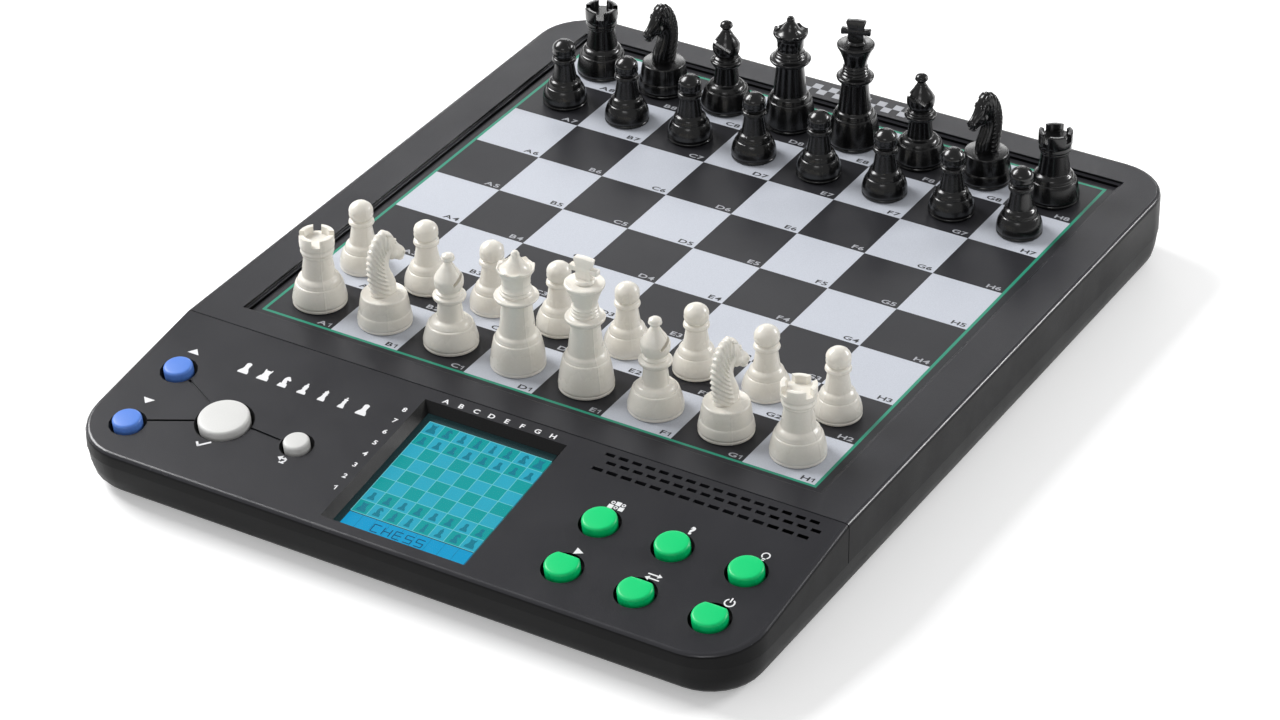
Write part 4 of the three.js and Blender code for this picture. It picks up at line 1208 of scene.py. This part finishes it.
# ---- Display -----------------------------------------------------------------------------------------
SEGMENTS = {
    "top": ((0, 1), (0.5, 1)),
    "middle": ((0, 0.5), (0.5, 0.5)),
    "bottom": ((0, 0), (0.5, 0)),
    "left_high": ((0, 0.5), (0, 1)),
    "left_low": ((0, 0), (0, 0.5)),
    "right_high": ((0.5, 0.5), (0.5, 1)),
    "right_low": ((0.5, 0), (0.5, 0.5)),
}
LETTERS = {
    "C": ("top", "bottom", "left_high", "left_low"),
    "H": ("middle", "left_high", "left_low", "right_high", "right_low"),
    "E": ("top", "middle", "bottom", "left_high", "left_low"),
    "S": ("top", "middle", "bottom", "left_high", "right_low"),
}
# The screen on the panel, in millimetres.
SCREEN = {"left": -23.8, "right": 24.0, "far": 10.1, "rank": 6.04, "band_near": 65.6}
WORD = {"left": -12.6, "pitch": 4.2, "width": 5.4, "height": 3.4, "near": 64.2, "stroke": 0.34}
BAND = {"gap": 0.4, "cells": 9, "inset": 0.05}
GRID_WIDTH = 0.22
PATCH_HEIGHT = 0.04 * MM
SCREEN_LIFT = 0.02 * MM  # the patches over the module, and the grid over their foot
MARK_LIFT = 0.06 * MM
ICON_FOOT = 0.86  # where an icon stands, as a share of its square from the far side
ICON_HEIGHTS = {"pawn": 3.7}
ICON_HEIGHT = 4.4
BACK_RANK = ("rook", "knight", "bishop", "queen", "king", "bishop", "knight", "rook")


def patch(x0, x1, far, near, inset=0.0):
    return oblong(x0 + inset, -near + inset, x1 - inset, -far - inset, PATCH_HEIGHT)


def screen_squares():
    """The screen's light squares, dark squares and icons."""
    left, far_edge, rank = SCREEN["left"], SCREEN["far"], SCREEN["rank"]
    file_width = (SCREEN["right"] - left) / 8
    squares, icons = ([], []), []
    for file in range(8):
        for row in range(8):
            x0, far = left + file * file_width, far_edge + row * rank
            squares[(file + row) % 2].append(patch(x0, x0 + file_width, far, far + rank))
            if row in (0, 1, 6, 7):
                kind = BACK_RANK[file] if row in (0, 7) else "pawn"
                sign = silhouette(kind, ICON_HEIGHTS.get(kind, ICON_HEIGHT))
                place = shift((x0 + file_width / 2) * MM, -(far + ICON_FOOT * rank) * MM, MARK_LIFT)
                icons.append(moved(sign, place))
    return (*squares, icons)


def screen_band():
    """The cells of the text band under the squares."""
    step = (SCREEN["right"] - SCREEN["left"]) / BAND["cells"]
    far = SCREEN["far"] + 8 * SCREEN["rank"] + BAND["gap"]
    starts = [SCREEN["left"] + i * step for i in range(BAND["cells"])]
    return [patch(x0, x0 + step, far, SCREEN["band_near"], BAND["inset"]) for x0 in starts]


def screen_word():
    """The segment word in the text band."""
    parts = []
    for i, letter in enumerate("CHESS"):
        x0, y0 = WORD["left"] + i * WORD["pitch"], -WORD["near"]
        for name in LETTERS[letter]:
            ends = [(x0 + x * WORD["width"], y0 + y * WORD["height"]) for x, y in SEGMENTS[name]]
            parts.append(moved(stroke(*ends, WORD["stroke"]), shift(0, 0, MARK_LIFT)))
    return parts


def screen_grid():
    """The thin lines between the squares."""
    left, right, far, rank = SCREEN["left"], SCREEN["right"], SCREEN["far"], SCREEN["rank"]
    parts = []
    for i in range(9):
        x, y = left + i * (right - left) / 8, -far - i * rank
        parts.append(stroke((x, -far), (x, -far - 8 * rank), GRID_WIDTH))
        parts.append(stroke((left, y), (right, y), GRID_WIDTH))
    return [moved(part, shift(0, 0, SCREEN_LIFT)) for part in parts]


def build_display():
    top = extent([TO_PANEL @ v.co for v in NODES["lcd_module"].data.vertices], 2)[1]
    place = PANEL @ shift(0, 0, top + SCREEN_LIFT)
    light, dark, icons = screen_squares()
    looks = [
        ("display_light_squares", light, display_glass("display_light", rgb(40, 164, 190), 0.92, 0.16)),
        ("display_dark_squares", dark, display_glass("display_dark", rgb(0, 152, 154), 0.92, 0.05)),
        ("display_grid", screen_grid(), display_glass("display_grid", rgb(112, 206, 214), 0.85)),
        ("display_text_band", screen_band(), display_glass("display_band", rgb(0, 152, 202), 0.9, 0.1)),
        ("display_letters", screen_word(), display_glass("display_letters", rgb(6, 74, 112), 0.6)),
        ("display_icons", icons, display_glass("display_icons", rgb(14, 128, 150), 0.8)),
    ]
    for name, parts, material in looks:
        mesh = new_mesh(name + "_mesh", *moved(merged(parts), place), smooth=False)
        piece(name, mesh, material, "case", None)


# ---- Inside and underneath ---------------------------------------------------------------------------
CELLS = ("battery_1", "battery_2", "battery_3")


def raised_end(node):
    """1 where a cell's raised contact is at its high x end, or -1. The solid is narrow at that end."""
    low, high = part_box(node)
    ends = [v.co for v in NODES[node].data.vertices if v.co.x > high.x - 0.2 * MM]
    return 1 if max(abs(p.y - (low.y + high.y) / 2) for p in ends) < 4 * MM else -1


def build_batteries():
    jacket = key_plastic("cell_jacket", rgb(44, 110, 66))
    for node in CELLS:
        low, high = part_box(node)
        radius, half = (high.z - low.z) / 2, (high.x - low.x) / 2
        # From the middle of the flat end, over the jacket, to the middle of the raised contact.
        corners = [(0, -half), (4.5 * MM, -half), (4.7 * MM, -half + 0.3 * MM)]
        corners += [(radius - 0.4 * MM, -half + 0.3 * MM), (radius, -half + 0.8 * MM)]
        corners += [(radius, half - 2.2 * MM), (radius - 0.5 * MM, half - 1.6 * MM)]
        corners += [(2.9 * MM, half - 1.5 * MM), (2.7 * MM, half - 0.3 * MM), (2.3 * MM, half), (0, half)]
        mesh = sharpened(new_mesh(node + "_mesh", *lathe(traced(corners, 0.2 * MM), 48)))
        mesh.materials.append(jacket)
        mesh.materials.append(STEEL)
        for face in mesh.polygons:
            reach = max(math.hypot(mesh.vertices[v].co.x, mesh.vertices[v].co.y) for v in face.vertices)
            face.material_index = 0 if reach > radius - 0.45 * MM else 1
        place = Matrix.Translation((low + high) / 2) @ spin(90 * raised_end(node), "Y")
        piece(node.replace("battery", "cell"), mesh, None, "case", place, [node])


COIL = {"radius": 4.2 * MM, "wire": 0.35 * MM, "turns": 3, "steps": 24, "columns": 8, "taper": 0.35}


def coil_part(height):
    """A coil spring about +Z that narrows upwards."""
    wire, columns = COIL["wire"], COIL["columns"]
    steps = COIL["turns"] * COIL["steps"]
    vertices = []
    for i in range(steps + 1):
        share = i / steps
        angle = 2 * math.pi * COIL["turns"] * share
        out = Vector((math.cos(angle), math.sin(angle), 0))
        centre = out * COIL["radius"] * (1 - COIL["taper"] * share)
        centre.z = wire + (height - 2 * wire) * share
        for j in range(columns):
            turn = 2 * math.pi * j / columns
            vertices.append(centre + out * wire * math.cos(turn) + Vector((0, 0, wire * math.sin(turn))))
    return vertices, closed_faces(steps, columns)


BAY_HALF = 27 * MM
PLATE_THICKNESS = 0.4 * MM
PLATE_REACH = 5.2 * MM


def build_contacts():
    """A spring at each cell's flat end and a plate at its raised one."""
    springs, plates = [], []
    for node in CELLS:
        low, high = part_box(node)
        middle = (low + high) / 2
        raised = raised_end(node)
        gap = BAY_HALF - abs(low.x if raised == 1 else high.x)
        place = shift(-raised * BAY_HALF, middle.y, middle.z) @ spin(90 * raised, "Y")
        springs.append(moved(coil_part(gap), place))
        left, right = sorted((raised * BAY_HALF, raised * (BAY_HALF - PLATE_THICKNESS)))
        lowest = (left, middle.y - PLATE_REACH, middle.z - PLATE_REACH)
        plates.append(box_part(lowest, (right, middle.y + PLATE_REACH, middle.z + PLATE_REACH)))
    piece("contact_springs", new_mesh("contact_springs_mesh", *merged(springs)), STEEL, "case")
    plates_mesh = new_mesh("contact_plates_mesh", *merged(plates), smooth=False)
    piece("contact_plates", plates_mesh, STEEL, "case")


# Screw places on the underside in millimetres.
SCREWS = [
    (-117.5, 40), (117.5, 40), (-117.5, -66), (117.5, -66), (-115, 148), (115, 148), (-70, -149), (70, -149),
]
SCREW_HEAD_Z = 8.0 * MM  # bottom of the wells, above the resting plane
SCREW_TURN = 37  # degrees from one screw's cross to the next


def build_screws():
    profile = [(0, -1.7), (1.9, -1.7), (2.6, -1.0, -0.2), (2.75, -0.2, -0.1), (2.75, 0), (0, 0)]
    head = new_mesh("screw_head", *lathe([(r * MM, z * MM) for r, z in traced(profile)], 32))
    cuts = [block((2.9, 0.6, 1.6), spin(turn, "Z") @ shift(0, 0, -1.6 * MM)) for turn in (0, 90)]
    head = sharpened(carved(head, cuts))
    for i, (x, y) in enumerate(SCREWS):
        place = shift(x * MM, y * MM, SCREW_HEAD_Z) @ spin(SCREW_TURN * i, "Z")
        piece("screw_" + str(i + 1), head, STEEL, "case", place)


def dress_cad_nodes():
    looks = {
        "playfield_sheet": playfield_print(),
        "sensor_membrane": moulded("sensor_film", rgb(206, 188, 130), 0.3, 0.01 * MM).material,
        "lcd_window": window_plastic(),
        "lcd_module": display_glass("display_rim", rgb(84, 124, 130), 0.1, 0.06),
        "main_circuit_board": laminate(),
        "keypad_mat": SILICONE,
        "speaker": metal("speaker_metal", rgb(120, 122, 126), 0.4, 300.0),
    }
    for node, material in looks.items():
        thing = NODES[node]
        thing.data.materials.clear()
        thing.data.materials.append(material)


# ---- Room, light and camera --------------------------------------------------------------------------
FLOOR_HALF = 6.0
FLOOR_GLOW = 0.3
WORLD_GLOW = 0.38
# name, place, height of the point aimed at above the floor's middle, size, watts
LIGHTS = [
    ("key_window", (-1.4, 0.1, 1.25), 0, (0.9, 0.8), 36),
    ("rear_strip", (-0.85, 1.7, 0.8), 0.02, (1.2, 0.25), 5),
    ("edge_strip", (1.0, 1.25, 0.8), 0.02, (0.7, 0.2), 13),
    ("front_fill", (0.5, -1.8, 1.4), 0.02, (0.9, 0.4), 4),
]


def build_room():
    paper = Nodes("floor_paper")
    fibre = paper.noise(40, 3)
    paper.feed("Base Color", paper.mix(fibre, (0.93, 0.93, 0.93), (0.95, 0.95, 0.95)))
    paper.feed("Emission Color", paper.mix(fibre, (0.98, 0.985, 0.99), (1, 1, 1)))
    paper.set(Roughness=0.9, Emission_Strength=FLOOR_GLOW)
    corners = [(x * FLOOR_HALF, y * FLOOR_HALF, 0) for x, y in ((-1, -1), (1, -1), (1, 1), (-1, 1))]
    mesh = new_mesh("floor_mesh", corners, [(0, 1, 2, 3)])
    mesh.materials.append(paper.material)
    added("floor", mesh)
    world = bpy.data.worlds.new("studio")
    bpy.context.scene.world = world
    world.use_nodes = True
    background = world.node_tree.nodes["Background"]
    background.inputs["Color"].default_value = (1, 1, 1, 1)
    background.inputs["Strength"].default_value = WORLD_GLOW
    for name, place, aim, size, watts in LIGHTS:
        light = bpy.data.lights.new(name, "AREA")
        light.shape = "RECTANGLE"
        light.size, light.size_y = size
        light.energy = watts
        lamp = added(name, light)
        lamp.location = place
        lamp.rotation_mode = "QUATERNION"
        lamp.rotation_quaternion = (Vector((0, 0, aim)) - Vector(place)).to_track_quat("-Z", "Y")
    bpy.context.scene.view_settings.view_transform = "Standard"


# The view: where it looks, from which side, how high, how far and how it is tilted.
VIEW_TARGET = Vector((0.0209, -0.0366, 0.028))
VIEW_AZIMUTH = math.radians(31.096)
VIEW_ELEVATION = math.radians(32.868)
VIEW_ROLL = math.radians(-0.689)
VIEW_DISTANCE = 1.4265
LENS_MM, SENSOR_MM = 118.54, 36


def build_camera():
    data = bpy.data.cameras.new("camera")
    data.lens, data.sensor_width = LENS_MM, SENSOR_MM
    data.clip_start, data.clip_end = 0.05, 20
    camera = added("camera", data)
    level = math.cos(VIEW_ELEVATION)
    back = Vector((math.sin(VIEW_AZIMUTH) * level, -math.cos(VIEW_AZIMUTH) * level, math.sin(VIEW_ELEVATION)))
    right = Vector((math.cos(VIEW_AZIMUTH), math.sin(VIEW_AZIMUTH), 0))
    across = right * math.cos(VIEW_ROLL) + back.cross(right) * math.sin(VIEW_ROLL)
    matrix = Matrix((across, back.cross(across), back)).transposed().to_4x4()
    matrix.translation = VIEW_TARGET + back * VIEW_DISTANCE
    camera.matrix_world = matrix
    bpy.context.scene.camera = camera


build_camera()
build_case()
build_feet()
build_keys()
build_chess_set()
build_panel_print()
build_rear_mark()
build_square_labels()
build_display()
build_batteries()
build_contacts()
build_screws()
dress_cad_nodes()
build_room()
